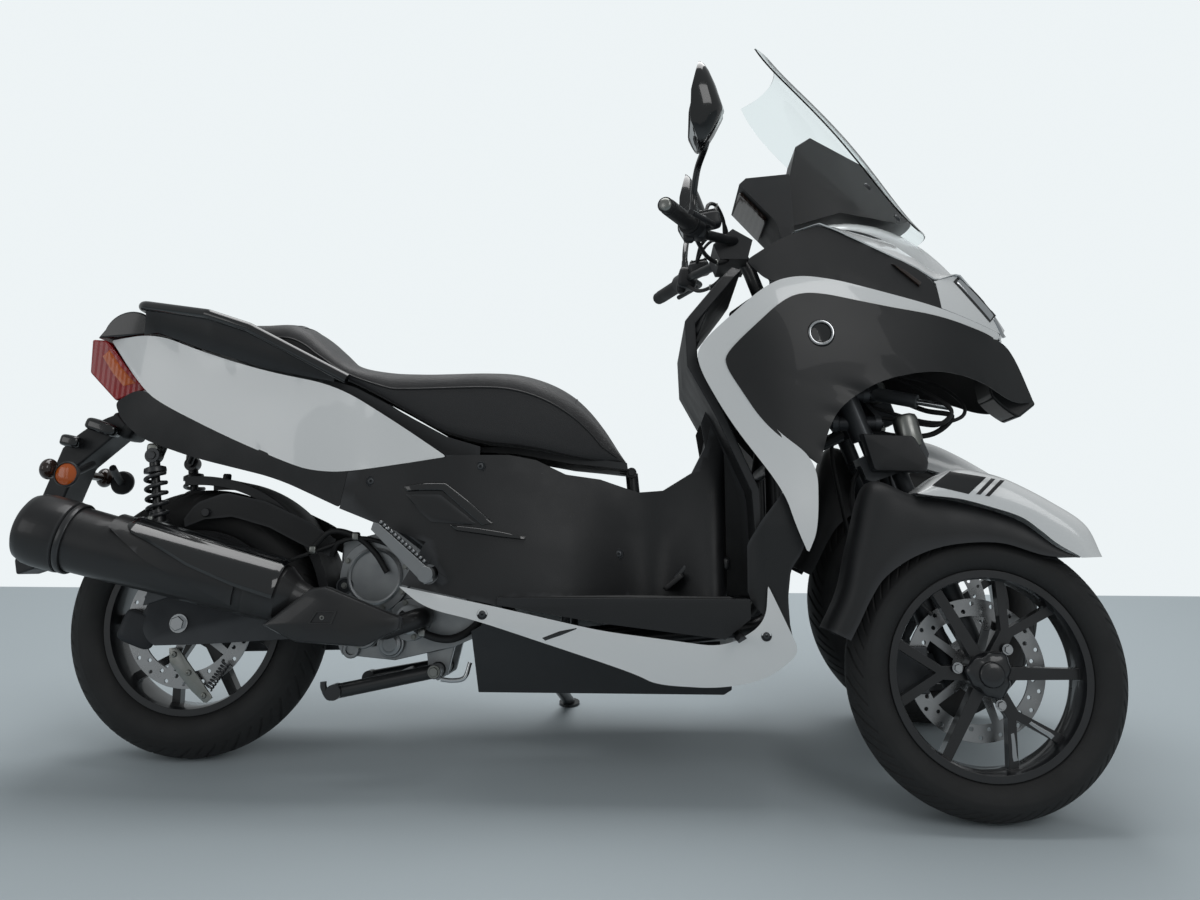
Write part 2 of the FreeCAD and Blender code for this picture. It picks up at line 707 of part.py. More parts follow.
def main_frame(column):
    """The tubular frame: two side rails, cross tubes, stays to the panels, and the column of the linkage."""
    y = amount("frame_half")
    thin = "frame_tube_radius * 0.8"
    bends = [("wheelbase - 200", 1104, 0.42), ("wheelbase - 250", 1030, 0.46), ("wheelbase - 330", 885, 0.62),
             ("wheelbase - 378", 600, 1), ("wheelbase - 378", 285, 1), ("wheelbase - 905", 232, 1),
             (560, 400, 1), (150, 690, 0.8), (-116, 736, 0.48)]
    tubes = []
    for side in (RIGHT, LEFT):
        points = [at(x, side * y * share, z) for x, z, share in bends]
        tubes.append(tube("rail_" + SIDE_NAMES[side], points, "frame_tube_radius", 60))
    across = [(*bends[1], 1), (*bends[2], 1), (*bends[3], 1), ("wheelbase - 420", 280, 1, 1),
              (*bends[5], 1), (*ENGINE_HANGER, 1, 1), (-90, 730, 0.5, 1)]
    for number, (x, z, share, _) in enumerate(across):
        tubes.append(bar("cross%d" % number, at(x, -y * share, z), at(x, y * share, z), thin))
    for number, (x, z, top) in enumerate((("wheelbase - 378", 600, 690), ("wheelbase - 330", 885, 880))):
        tubes.append(bar("strut%d" % number, at(x, 0, z), Vector(kingpin_x(top), 0, top), thin))
    base, up = stem_axis()
    head = bar("head", base - up * 110, base + up * 12, "stem_radius + 9")
    pivot, fold = side_stand_hinge()
    lug = bar("side_stand_lug", pivot + fold * amount("10 + run_gap"), pivot + fold * 48, 16)
    hinge = ("wheelbase - 670", "hinge_height")
    post = bar("seat_post", *seat_post_line(), thin)
    post_foot = bar("seat_post_foot", at("wheelbase - 635", -y, 257), at("wheelbase - 635", y, 257), thin)
    pin = bar("seat_hinge_pin", at(hinge[0], -44, hinge[1]), at(hinge[0], 44, hinge[1]), "hinge_pin")
    whole = fused("frame_body", tubes + [head, lug, post, post_foot, pin] + column + frame_stays())
    bore = bar("head_bore", base - up * 140, base + up * 60, "stem_radius + run_gap")
    keep("main_frame", cut("frame_bored", whole, bore))


def stay(label, start, end, room, radius="stay_radius"):
    """A stay that ends a running gap short of the piece it carries."""
    return cut(label, bar(label + "_bar", start, end, radius), rooms[room])


def frame_stays():
    """The stays and brackets of the right side with their twins, and those in the middle."""
    y = amount("frame_half")
    lamp_z = 952
    right = [
        stay("stay_fairing", at("wheelbase - 378", -y, 600), at("wheelbase - 378", -300, 600), "fairing_panels"),
        stay("stay_shield", at("wheelbase - 330", -90, 880), at("wheelbase - 330", -300, 850), "shield_panels"),
        stay("stay_insert", at("wheelbase - 250", -66, 1030), at("wheelbase - 250", -300, 1025), "nose_inserts"),
        stay("stay_dash", at("wheelbase - 250", -66, 1030), at("wheelbase - 322", -66, 1084), "dash"),
        stay("stay_cowl_rear", at("wheelbase - 206", -63, 1090), at("wheelbase - 190", -62, 1180), "nose_cowl"),
        stay("stay_legs", at("wheelbase - 378", -y, 450), at("wheelbase - 420", -y, 450), "leg_shield"),
        stay("stay_knees", at("wheelbase - 345", -100, 820), at("wheelbase - 546", -100, 826), "leg_shield"),
        stay("stay_deck_front", at("wheelbase - 440", -y, 270), at("wheelbase - 440", -y, "floor_height - 5"), "footboards"),
        stay("stay_deck_rear", at("wheelbase - 800", -y, 240), at("wheelbase - 800", -y, "floor_height - 5"), "footboards"),
        stay("stay_skirt_front", at("wheelbase - 460", -y, 268), at("wheelbase - 460", -300, 262), "side_skirts"),
        stay("stay_skirt_rear", at("wheelbase - 700", -y, 252), at("wheelbase - 700", -300, 250), "side_skirts"),
        stay("stay_cover", at(400, -138, 513), at(400, -300, 520), "side_covers"),
        stay("stay_tail", at(150, -118, 690), at(150, -300, 700), "tail_panels"),
        stay("stay_tail_cover", at(-40, -92, 716), at(-40, -150, 684), "tail_lower_cover"),
        stay("stay_tail_top", at(-108, -68, 738), at(-96, -60, 890), "tail_top"),
        stay("stay_tub", at(ENGINE_HANGER[0], -100, ENGINE_HANGER[1]), at(ENGINE_HANGER[0], -100, "seat_height - 296"),
             "storage_tub"),
        stay("stay_lamp", at("wheelbase - 20", 0, lamp_z), at("wheelbase + 10", -200, lamp_z), "headlamps"),
        bar("stay_peg", at(556, -y, 396), at(530, "peg_foot - skirt_half + 30", 378), "stay_radius + 2"),
        bar("stay_peg_foot", at(530, "peg_foot - skirt_half + 40", 378), at(530, "peg_foot - skirt_half + run_gap", 378),
            "stay_radius + 5"),
        bar("shock_arm", at(-60, -78, 727), at(*shock_point(SHOCK_TOP, "shock_half - 24")), "stay_radius"),
        bar("shock_top_pin", at(*shock_point(SHOCK_TOP, "shock_half - 24")),
            at(*shock_point(SHOCK_TOP, "shock_half + 16")), "shock_pin"),
    ]
    sided = fused("stays_right", right)
    lamp_post = bar("lamp_post", Vector(kingpin_x(900), 0, 900), at("wheelbase - 10", 0, lamp_z), "stay_radius + 2")
    middle = [
        lamp_post,
        stay("stay_beak", at("wheelbase - 20", 0, lamp_z - 4), at("wheelbase + 160", 0, 800), "front_beak"),
        stay("stay_cowl", at("wheelbase - 60", 0, lamp_z - 14), at("wheelbase - 60", 0, 1160), "nose_cowl"),
        stay("stay_pan", at("wheelbase - 905", 0, 236), at("wheelbase - 905", 0, 140), "belly_pan"),
        stay("stay_plate", at(-90, 0, 730), at(-240, 0, 690), "plate_carrier"),
        stay("stay_tail_lamp", at(-90, 0, 734), at(-190, 0, 800), "tail_lamp"),
    ]
    return [sided, twin("stays_left", sided)] + middle


def shock_point(spot, out):
    """A shock eye's place on the right side, from its side-view spot and its distance out."""
    return spot[0], "-(%s)" % out, spot[1]


def engine():
    """The engine block with its right-hand covers, hung on a frame tube, and the drive case on its left."""
    half = "engine_half"
    hanger_x, hanger_z = ENGINE_HANGER
    pivot_x, pivot_z = CENTRE_PIVOT
    block = slab("engine_block", [(312, 250), (318, 440), (430, 470), (596, 412), (622, 372), (640, 320),
                                  (630, 262), (560, 232), (440, 205), (330, 215)],
                 "-engine_half", half, arcs={3: -40})
    parts = [block]
    for number, (x, z, radius, out) in enumerate(((392, 372, 74, "12 + run_gap"), (470, 286, 42, 16), (372, 262, 34, 10))):
        parts.append(bar("engine_cover%d" % number, at(x, "-engine_half - %s" % out, z), at(x, 0, z), radius))
    for number, side in enumerate((RIGHT, LEFT)):
        lug = slab("stand_lug%d" % number, [(500, 232), (508, 176), (527, 164), (546, 176), (560, 236)],
                   side * 54 - 8, side * 54 + 8)
        parts.append(lug)
    whole = fused("engine_whole", parts)
    hanger = bar("hanger_bore", at(hanger_x, -120, hanger_z), at(hanger_x, 120, hanger_z),
                 "frame_tube_radius * 0.8 + run_gap")
    stand = bar("stand_bore", at(pivot_x, -120, pivot_z), at(pivot_x, 120, pivot_z), "centre_leg_radius + run_gap")
    keep("engine", cut("engine_bored", cut("engine_hung", whole, hanger), stand))
    face = "engine_half + run_gap"
    outline = [(-70, 240), (-86, 300), (-40, 333), (60, 372), (420, 385), (530, 340), (560, 260), (420, 215), (0, 205)]
    case = slab("case_block", outline, face, "engine_half + case_width", arcs={5: -90})
    vent = bar("case_vent", at(440, face, 296), at(440, "engine_half + case_width + 10", 296), 62)
    hub = bar("case_hub", at(0, face, 282), at(0, "engine_half + case_width + 6", 282), 52)
    ear = slab("case_ear", [(-78, 310), (-20, 330), (-34, 362), (-66, 362)],
               "shock_half + 12 + run_gap", "shock_half + 20")
    pin = bar("case_shock_pin", at(SHOCK_FOOT[0], "shock_half - 14", SHOCK_FOOT[1]),
              at(SHOCK_FOOT[0], "shock_half + 20", SHOCK_FOOT[1]), "shock_pin")
    keep("drive_case", fused("case_whole", [case, vent, hub, ear, pin]))


def swingarm():
    """The right-hand rear arm from the engine to the axle, with the rear axle itself."""
    axle_z = "rear_tyre_radius"
    inner = "(engine_half + 12 + 2 * run_gap)"
    outer = "(engine_half + 12 + arm_wall)"
    arm = slab("arm_block", [(-46, axle_z + " - 44"), (-74, axle_z + " - 10"), (-66, axle_z + " + 40"),
                             (-20, axle_z + " + 57"), (330, axle_z + " + 50"), (360, axle_z + " - 10"),
                             (300, axle_z + " - 24"), (60, axle_z + " - 40")],
               "-" + outer, "-" + inner, arcs={0: -48})
    axle = bar("rear_axle", at(0, "-" + outer, axle_z), at(0, "engine_half", axle_z), "axle_radius")
    ear = slab("arm_ear", [(-78, 310), (-20, 330), (-34, 362), (-66, 362)],
               "-shock_half - 20", "-shock_half - 12 - run_gap")
    pin = bar("arm_shock_pin", at(*shock_point(SHOCK_FOOT, "shock_half + 20")),
              at(*shock_point(SHOCK_FOOT, "shock_half - 14")), "shock_pin")
    hanger = cut("muffler_hanger", bar("muffler_hanger_bar", at(110, "-" + outer, 322), at(110, -175, 344), 12),
                 muffler_room())
    keep("swingarm", fused("arm_whole", [arm, axle, ear, pin, hanger]))


def muffler_line():
    """The silencer's rear end, its nose and the run between."""
    rear = Vector(-262, -202, 458)
    nose = Vector(235, -192, 336)
    return rear, nose, nose - rear


def muffler_room():
    """The room that a bracket must leave the silencer."""
    rear, nose, _ = muffler_line()
    return cone("muffler_room", rear, nose, "muffler_radius + run_gap", "muffler_radius * 0.86 + run_gap")


def exhaust():
    """The tapered silencer on the right with its shield and end cap, and its header pipe."""
    rear, nose, run = muffler_line()
    step = run * (1 / run.Length)
    can = cone("can", rear, nose, "muffler_radius", "muffler_radius * 0.86")
    cap = cone("can_cap", rear - step * 30, rear, "muffler_radius * 0.7", "muffler_radius + 2")
    collar = cone("can_nose", nose, nose + step * 46, "muffler_radius * 0.86", "header_radius + 4")
    tip = cut("tail_tip", bar("tail_pipe", rear - step * 52, rear - step * 20, "header_radius"),
              bar("tail_bore", rear - step * 60, rear - step * 24, "header_radius - 3"))
    pipe = tube("header", [nose - step * 20, nose + step * 130, at(430, -160, 268), at(500, -150, 292),
                           at(500, "-engine_half - 16 - run_gap", 292)], "header_radius", 24)
    ribs = fused("shield_ribs", [cone("shield", rear + step * 150, rear + step * 430, "muffler_radius + 5",
                                      "muffler_radius * 0.86 + 7"),
                                 cone("guard", rear + step * 450, nose + step * 60, "muffler_radius * 0.86 + 8",
                                      "header_radius + 8")])
    shell = common("shield_shell", [ribs, slab("shield_side", [(-150, 500), (-120, 540), (330, 420), (330, 250),
                                                               (240, 270), (-20, 400)], -320, -196)])
    keep("exhaust", fused("exhaust_whole", [can, cap, collar, tip, pipe, shell]))


def spring(label, start, length, direction, coils):
    """A coil spring with its damper, drawn as one turned profile with a round ridge for each coil."""
    core = "shock_radius - spring_wire"
    profile = [(0, 0), (core, 0)]
    arcs = {}
    for number in range(coils):
        middle = length * (number + 0.5) / coils
        arcs[len(profile)] = "spring_wire"
        profile += [(core, "%s - spring_wire * 0.98" % middle), (core, "%s + spring_wire * 0.98" % middle)]
    profile += [(core, length), (0, length)]
    item = revolved(label, draw(label + "_profile", profile, "plan", arcs))
    item.Placement = Placement(start, Rotation(ACROSS, direction))
    return item


def shocks():
    """Two rear shock absorbers, each a damper with a coil spring between two seats."""
    top = at(*shock_point(SHOCK_TOP, "shock_half"))
    foot = at(*shock_point(SHOCK_FOOT, "shock_half"))
    run = foot - top
    down = run * (1 / run.Length)
    pieces = [bar("shock_rod", top + down * 10, foot - down * 10, 10),
              bar("shock_body", top + run * 0.4, top + run * 0.86, 15),
              bar("shock_cap", top + down * 24, top + down * 36, "shock_radius - 2"),
              bar("shock_seat", top + run * 0.8, top + run * 0.83, "shock_radius")]
    pieces.append(spring("shock_spring", top + down * 34, run.Length * 0.8 - 34, down, 9))
    pieces.append(bar("shock_top_eye", top - ACROSS * 13, top + ACROSS * 13, 16))
    pieces.append(bar("shock_foot_eye", foot - ACROSS * 12, foot + ACROSS * 12, 15))
    whole = fused("shock_whole", pieces)
    for number, spot in enumerate((top, foot)):
        bore = bar("shock_bore%d" % number, spot - ACROSS * 20, spot + ACROSS * 20, "shock_pin + run_gap")
        whole = cut("shock_bored%d" % number, whole, bore)
    keep("rear_shocks", both_sides("shock_pair", whole))


def rear_mudguard():
    """The inner mudguard that follows the rear tyre, with turned-down edges."""
    half = "engine_half"
    inner = "rear_tyre_radius + mudguard_gap"
    outer = inner + " + panel_wall"
    flange = inner + " - 16"
    profile = [("-" + half, flange), ("-%s + panel_wall" % half, flange), ("-%s + panel_wall" % half, inner),
               (half + " - panel_wall", inner), (half + " - panel_wall", flange), (half, flange), (half, outer),
               ("-" + half, outer)]
    centre = at(0, 0, "rear_tyre_radius")
    shell = revolved("mudguard_ring", draw("mudguard_profile", profile, "front", base=centre), centre)
    wedge = slab("mudguard_wedge", [(0, "rear_tyre_radius"), (-60, "rear_tyre_radius + 520"),
                                    (520, "rear_tyre_radius + 520"), (520, "rear_tyre_radius + 120")], -200, 200)
    keep("rear_mudguard", common("mudguard_arc", [shell, wedge]))


def stands():
    """The side stand, down on the floor, and the centre stand, folded up under the frame."""
    crown = amount("crown_radius")
    foot_y = amount("side_foot_out")
    # The foot's disc lies on the floor once the vehicle leans, so its height follows the lean.
    floor_z = crown + (foot_y * math.sin(lean) - crown) / math.cos(lean)
    foot = at("side_foot_x", foot_y, floor_z)
    pivot, fold = side_stand_hinge()
    floor_up = Vector(0, -math.sin(lean), math.cos(lean))
    pad = bar("side_pad", foot, foot + floor_up * 6, "side_foot_radius")
    leg = tube("side_leg", [pivot + Vector(0, 10, -10), pivot + Vector(2, 36, -36), foot + floor_up * 5],
               "stand_leg_radius", 24)
    eye = bar("side_eye", pivot - fold * 10, pivot + fold * 10, 20)
    keep("side_stand", fused("side_stand_whole", [leg, pad, eye]))
    pivot = at(CENTRE_PIVOT[0], 0, CENTRE_PIVOT[1])
    tip = at(338, 0, 150)
    pieces = []
    for side in (RIGHT, LEFT):
        name = "centre_%s_" % SIDE_NAMES[side]
        out = ACROSS * side
        pieces.append(bar(name + "leg", pivot + out * 92, tip + out * 142, "centre_leg_radius"))
        pieces.append(bar(name + "pad", tip + out * 126, tip + out * 164, "centre_leg_radius + 1"))
    middle = pivot * 0.55 + tip * 0.45
    pieces.append(bar("centre_bar", pivot - ACROSS * 112, pivot + ACROSS * 112, "centre_leg_radius"))
    pieces.append(bar("centre_brace", middle - ACROSS * 116, middle + ACROSS * 116, 9))
    keep("centre_stand", fused("centre_stand_whole", pieces))


# Bodywork

def body_half_width(x, z):
    """Half width of the tail and side covers: wide under the seat, flared to the footboards, narrow at the tunnel."""
    tail = [(-300, 40), (-200, 98), (-60, 132), (150, 160), (350, amount("tail_half + 6"))]
    high = blend(x, tail + [(520, amount("side_half")), (640, amount("side_half - 12"))]
                 + at_front([(-835, 160), (-715, 122), (-475, 112)]))
    low = blend(x, tail + [(520, amount("skirt_half - 16")), (640, amount("skirt_half - 6"))]
                + at_front([(-815, 236), (-695, 150), (-475, 118)]))
    middle = blend(x, [(-300, 800), (150, 680), (600, 520)])
    draw_in = 14 * ((z - middle) / 160) ** 2 * blend(x, [(150, 1), (400, 0)])
    return blend(z, [(360, low), (600, high)]) - draw_in


def tail_and_covers():
    """White tail panels, the black covers under them, the side covers and the lamp."""
    stations = [-300, -180, -60, 80, 220, 360, 480, 600, "wheelbase - 895", "wheelbase - 795", "wheelbase - 695",
                "wheelbase - 595", "wheelbase - 475"]
    skin = side_skin("body_skin", stations, [300, 380, 460, 540, 620, 760, 900], body_half_width)
    white = [(-231, 874), (-116, 883), (-4, 839), (149, 792), (307, 760), (448, 676), (551, 609), (456, 594),
             (335, 579), (276, 582), (230, 592), (81, 651), (-77, 724), (-127, 757)]
    piece, white_outline = panel("tail_panels", skin, white)
    keep("tail_panels", both_sides("tail_panels_pair", piece))
    lower = [(-199, 733), (-135, 764), (-79, 727), (79, 654), (228, 596), (275, 586), (345, 584), (331, 508),
             (192, 567), (3, 611), (-123, 652), (-180, 697)]
    piece, lower_outline = panel("tail_lower_cover", skin, lower, [white_outline])
    keep("tail_lower_cover", both_sides("tail_lower_pair", piece))
    cover = [(335, 584), (456, 600), (551, 612), front(-919, 615), front(-865, 606), front(-804, 578),
             front(-734, 570), front(-656, 545), front(-604, 549), front(-543, 586), front(-510, 650),
             front(-503, 686), front(-435, 538), front(-422, "floor_height + 0.5"),
             front(-927.6, "floor_height + 0.5"), front(-927.6, 321), (474, 358), (519, 440), (429, 470), (331, 506)]
    piece, _ = panel("side_covers", skin, cover, [white_outline, lower_outline])
    hole = bar("peg_hole", at(530, -300, 378), at(530, -100, 378), "stay_radius + 10")
    lid = slab("tunnel_lid", [front(-734, 570), front(-656, 545), front(-604, 549), front(-543, 586), front(-510, 650),
                              front(-503, 684), front(-500, 684), front(-507, 648), front(-541, 583),
                              front(-603, 546), front(-656, 542), front(-734, 567)], -WIDE, 0)
    lid = common("tunnel_lid_trimmed", [lid, extruded("tunnel_inside", skin, 0, WIDE)])
    post = bar("lid_hole", *seat_post_line(), "frame_tube_radius * 0.8 + run_gap")
    piece = fused("side_covers_closed", [cut("side_covers_holed", piece, hole), cut("tunnel_lid_holed", lid, post)])
    keep("side_covers", both_sides("side_covers_pair", piece))
    lamp = draw("tail_lamp_outline", [(-268, 874), (-236, 872), (-136, 762), (-200, 738), (-264, 800)])
    rooms["tail_lamp"] = grown("tail_lamp_room", lamp, -96, 96)
    keep("tail_lamp", extruded("tail_lamp_block", lamp, -92, 92))
    top = draw("tail_top_outline", [(-255, 876), (-120, 887), (-2, 845), (20, 850), (10, 880), (-130, 905),
                                    (-240, 896)], arcs={5: 60})
    rooms["tail_top"] = grown("tail_top_room", top, -96, 96)
    keep("tail_top", extruded("tail_top_block", top, -96, 96))


def skirt_half_width(x, z):
    """Half width of the skirts: drawn in towards their lower edge and their rear tip."""
    top = amount("floor_height")
    return amount("skirt_half") - 30 * ((top - z) / 170) ** 2 - 0.00018 * max(0, 560 - x) ** 2


def floor():
    """Footboards with their side bands, white skirts under them and the belly pan."""
    stations = [440, 560, "wheelbase - 895", "wheelbase - 745", "wheelbase - 595", "wheelbase - 445", "wheelbase - 330"]
    skin = side_skin("skirt_skin", stations, [150, 230, 300, 380], skirt_half_width)
    white = [(474, 356), front(-921, 317), front(-728, 276), front(-489, 247), front(-412, 292), front(-406, 363),
             front(-347, 239), front(-410, 188), front(-501, 171), front(-620, 177), front(-656, 195),
             front(-728, 219), (625, 294), (528, 315)]
    piece, white_outline = panel("side_skirts", skin, white)
    keep("side_skirts", both_sides("side_skirts_pair", piece))
    low, high = "floor_height - floor_wall", "floor_height"
    tread = [("wheelbase - 927", "-128"), front(-440, -128), front(-440, "-skirt_half + 1.5"),
             front(-927, "-skirt_half + 1.5")]
    board = extruded("deck_board", draw("deck_outline", tread, "plan"), low, high, UPWARD)
    level = slab("deck_step_level", [front(-928, high + " - 1"), front(-470, high + " - 1"), front(-470, high + " + 1"),
                                     front(-928, high + " + 1")], -WIDE, 0)
    behind = extruded("deck_step_behind", doc.getObject("body_skin"), -4, 160)
    board = cut("deck_board_stepped", board, common("deck_step", [behind, level]))
    band = [front(-927, high), front(-440, high), front(-440, 300), front(-489, 262), front(-728, 290),
            front(-927, 322)]
    side, _ = panel("deck_band", skin, band, [white_outline])
    rooms["footboards"] = slab("deck_room", [front(-960, low + " - run_gap"), front(-400, low + " - run_gap"),
                                             front(-400, high), front(-960, high)], -WIDE, 0)
    keep("footboards", both_sides("footboards_pair", fused("deck_whole", [board, side])))
    foot, top = 128, "pan_half"
    across = [("-" + top, 292), (-foot, 150), (foot, 150), (top, 292), (top + " - 5", 292), (foot - 2, 153),
              (-foot + 2, 153), ("5 - " + top, 292)]
    trough = extruded("pan_trough", draw("pan_profile", across, "front"), 560, "wheelbase - 440", FORWARD)
    view = slab("pan_view", [(612, 270), (622, 140), front(-500, 140), front(-470, 160), front(-470, 232),
                             front(-728, 214), front(-820, 246), (640, 286)], -WIDE, WIDE)
    notch = slab("pan_notch", [(590, 100), front(-765, 100), front(-765, 320), (590, 320)], 62, WIDE)
    rooms["belly_pan"] = slab("pan_room", [(600, 100), front(-440, 100), front(-440, "153 + run_gap"),
                                           (600, "153 + run_gap")], -100, 100)
    keep("belly_pan", cut("pan_notched", common("pan_whole", [trough, view]), notch))


def shield_half_width(x, z):
    """Half width of the front fairing: widest at the leg shield, drawn in to the nose."""
    dx = x - amount("wheelbase")
    half = amount("shield_half")
    base = blend(dx, [(-560, half - 4), (-400, half), (-260, half - 10), (-120, half - 44), (0, half - 84),
                      (110, half - 146), (200, half - 214), (240, 30)])
    return base - blend(z, [(400, 8), (700, 0), (900, 6), (1150, 74)]) * blend(dx, [(-400, 0.6), (0, 1)])


def front_fairing():
    """The white boomerang panels, black shield panels, nose, inserts and lamps."""
    stations = ["wheelbase + %d" % dx for dx in (-560, -420, -280, -140, -20, 80, 160, 232)]
    skin = side_skin("front_skin", stations, [380, 560, 740, 900, 1020, 1160], shield_half_width)
    boomerang = [front(119, 884), front(-27, 925), front(-183, 957), front(-248, 971), front(-326, 978),
                 front(-390, 960), front(-529, 837), front(-540, 795), front(-474, 676), front(-372, 539),
                 front(-352, 474), front(-330, 422), front(-308, 470), front(-304, 598), front(-401, 670),
                 front(-478, 791), front(-469, 819), front(-347, 927), front(-299, 937), front(-164, 915),
                 front(-23, 899), front(112, 866)]
    piece, white_outline = panel("fairing_panels", skin, boomerang)
    keep("fairing_panels", both_sides("fairing_pair", piece))
    shield = [front(116, 870), front(-23, 905), front(-164, 920), front(-299, 942), front(-355, 930),
              front(-474, 819), front(-484, 791), front(-404, 664), front(-300, 590), front(-278, 669),
              front(-246, 715), front(-164, 765), front(-47, 791), front(57, 777), front(139, 735), front(196, 745),
              front(150, 841)]
    piece, _ = panel("shield_panels", skin, shield, [white_outline])
    keep("shield_panels", both_sides("shield_pair", piece))
    insert = [front(-433, 1010), front(-358, 1062), front(-276, 1098), front(-237, 1085), front(-67, 1014),
              front(-27, 980), front(-21, 915), front(-183, 950), front(-248, 964), front(-326, 971),
              front(-388, 958)]
    piece, insert_outline = panel("nose_inserts", skin, insert, [white_outline])
    keep("nose_inserts", both_sides("insert_pair", piece))
    lens = [front(-30, 915), front(-30, 985), front(30, 1008), front(100, 940), front(133, 894), front(119, 870)]
    piece, _ = panel("headlamps", skin, lens, [white_outline, insert_outline], wall="panel_wall * 4")
    keep("headlamps", both_sides("headlamp_pair", piece))
    rows = []
    for dx, z, half in ((-300, 1112, 146), (-200, 1150, 128), (-60, 1130, 96), (40, 1062, 46), (110, 968, 42),
                        (158, 890, 38)):
        x = amount("wheelbase") + dx
        rows.append([Vector(x - back, half * share, z - drop)
                     for share, back, drop in ((-1, 44, 34), (-0.6, 12, 8), (0, 0, 0), (0.6, 12, 8), (1, 44, 34))])
    surface = skin_between("cowl_skin", rows)
    inward = Vector(-1, 0, -2).normalize()
    rooms["nose_cowl"] = extruded("cowl_room", surface, -200, "panel_wall + run_gap", inward)
    keep("nose_cowl", extruded("cowl_plate", surface, 0, "panel_wall", inward))
    beak = draw("beak_outline", [front(146, 850), front(205, 742), front(166, 712), front(110, 760),
                                 front(100, 846)], arcs={2: -160})
    rooms["front_beak"] = grown("beak_room", beak, -54, 54)
    keep("front_beak", extruded("beak_block", beak, -52, 52))


def leg_shield():
    """The inner wall in front of the rider's legs, down to the footboards."""
    outline = draw("leg_shield_outline", [
        front(-455, 1020), front(-560, 885), front(-556, 792), front(-500, 690), front(-432, 540),
        front(-420, "floor_height + 0.5"), front(-408, "floor_height + 0.5"), front(-416, 545), front(-480, 690),
        front(-534, 800), front(-538, 880), front(-435, 1010)])
    rooms["leg_shield"] = grown("leg_shield_room", outline, -WIDE, WIDE)
    sheet_wall = extruded("leg_shield_wall", outline, -235, 235)
    shape = extruded("leg_shield_shape", draw("leg_shield_front", [
        (-235, 330), (235, 330), (235, 900), (200, 990), (150, 1030), (-150, 1030), (-200, 990), (-235, 900)],
        "front"), "wheelbase - 700", "wheelbase - 300", FORWARD)
    keep("leg_shield", common("leg_shield_trimmed", [sheet_wall, shape]))


def screen():
    """The tall clear windshield, its black mount and the instrument housing."""
    rows = []
    for dx, z, half, sweep in ((0, 1122, 96, 34), (-80, 1220, 150, 60), (-148, 1315, 178, 74),
                               (-240, 1425, 186, 80), (-330, 1530, 166, 62)):
        x = amount("wheelbase") + dx
        rows.append([Vector(x - sweep, -half, z), Vector(x - sweep * 0.3, -half * 0.55, z + 2), Vector(x, 0, z + 4),
                     Vector(x - sweep * 0.3, half * 0.55, z + 2), Vector(x - sweep, half, z)])
    surface = skin_between("screen_skin", rows)
    inward = Vector(-3, 0, -2.4).normalize()
    keep("windshield", extruded("screen_plate", surface, 0, "panel_wall + 0.8", inward))
    ahead = extruded("screen_ahead", surface, -240, "panel_wall + 0.8 + run_gap", inward)
    mount = draw("mount_outline", [front(-310, 1140), front(-316, 1240), front(-296, 1330), front(-262, 1352),
                                   front(-110, 1262), front(-4, 1160), front(-72, 1146), front(-200, 1172)])
    rooms["screen_mount"] = grown("mount_room", mount, -72, 72)
    below = cowl_below()
    block = extruded("mount_block", mount, -70, 70)
    keep("screen_mount", cut("mount_seated", cut("mount_under_screen", block, ahead), below))
    dash = draw("dash_outline", [front(-330, 1062), front(-350, 1138), front(-430, 1226), front(-415, 1240),
                                 front(-318, 1250), front(-312, 1145), front(-312, 1062)])
    rooms["dash"] = grown("dash_room", dash, -112, 112)
    keep("dash", cut("dash_seated", extruded("dash_block", dash, -110, 110), below))


def cowl_below():
    """The room under the cowl, up to a gap above it, so that the screen's mount and the dash end there."""
    item = doc.addObject("Part::Extrusion", "cowl_below")
    item.Base = doc.getObject("cowl_skin")
    item.DirMode = "Custom"
    item.Dir = Vector(1, 0, 2).normalize()
    item.Solid = True
    return bind(item, LengthFwd="run_gap", LengthRev=300)


SEAT_STATIONS = [
    # x, top, underside, half width taken off, corner radius
    (36, "pillion_height + 6", "seat_height + 48", 46, 0.6),
    (120, "pillion_height", "seat_height + 20", 14, 0.8),
    (205, "pillion_height", "seat_height + 2", 2, 1),
    (262, "seat_height + 62", "seat_height - 10", 0, 1),
    (330, "seat_height + 16", "seat_height - 30", 0, 0.9),
    (430, "seat_height", "seat_height - 92", 0, 1),
    (560, "seat_height", "seat_height - 162", 0, 1),
    (680, "seat_height", "seat_height - 166", 6, 1),
    (795, "seat_height - 46", "seat_height - 186", 32, 1),
    (860, "seat_height - 110", "seat_height - 192", 54, 0.9),
    (916, "seat_height - 180", "seat_height - 198", 76, 0.3),
]


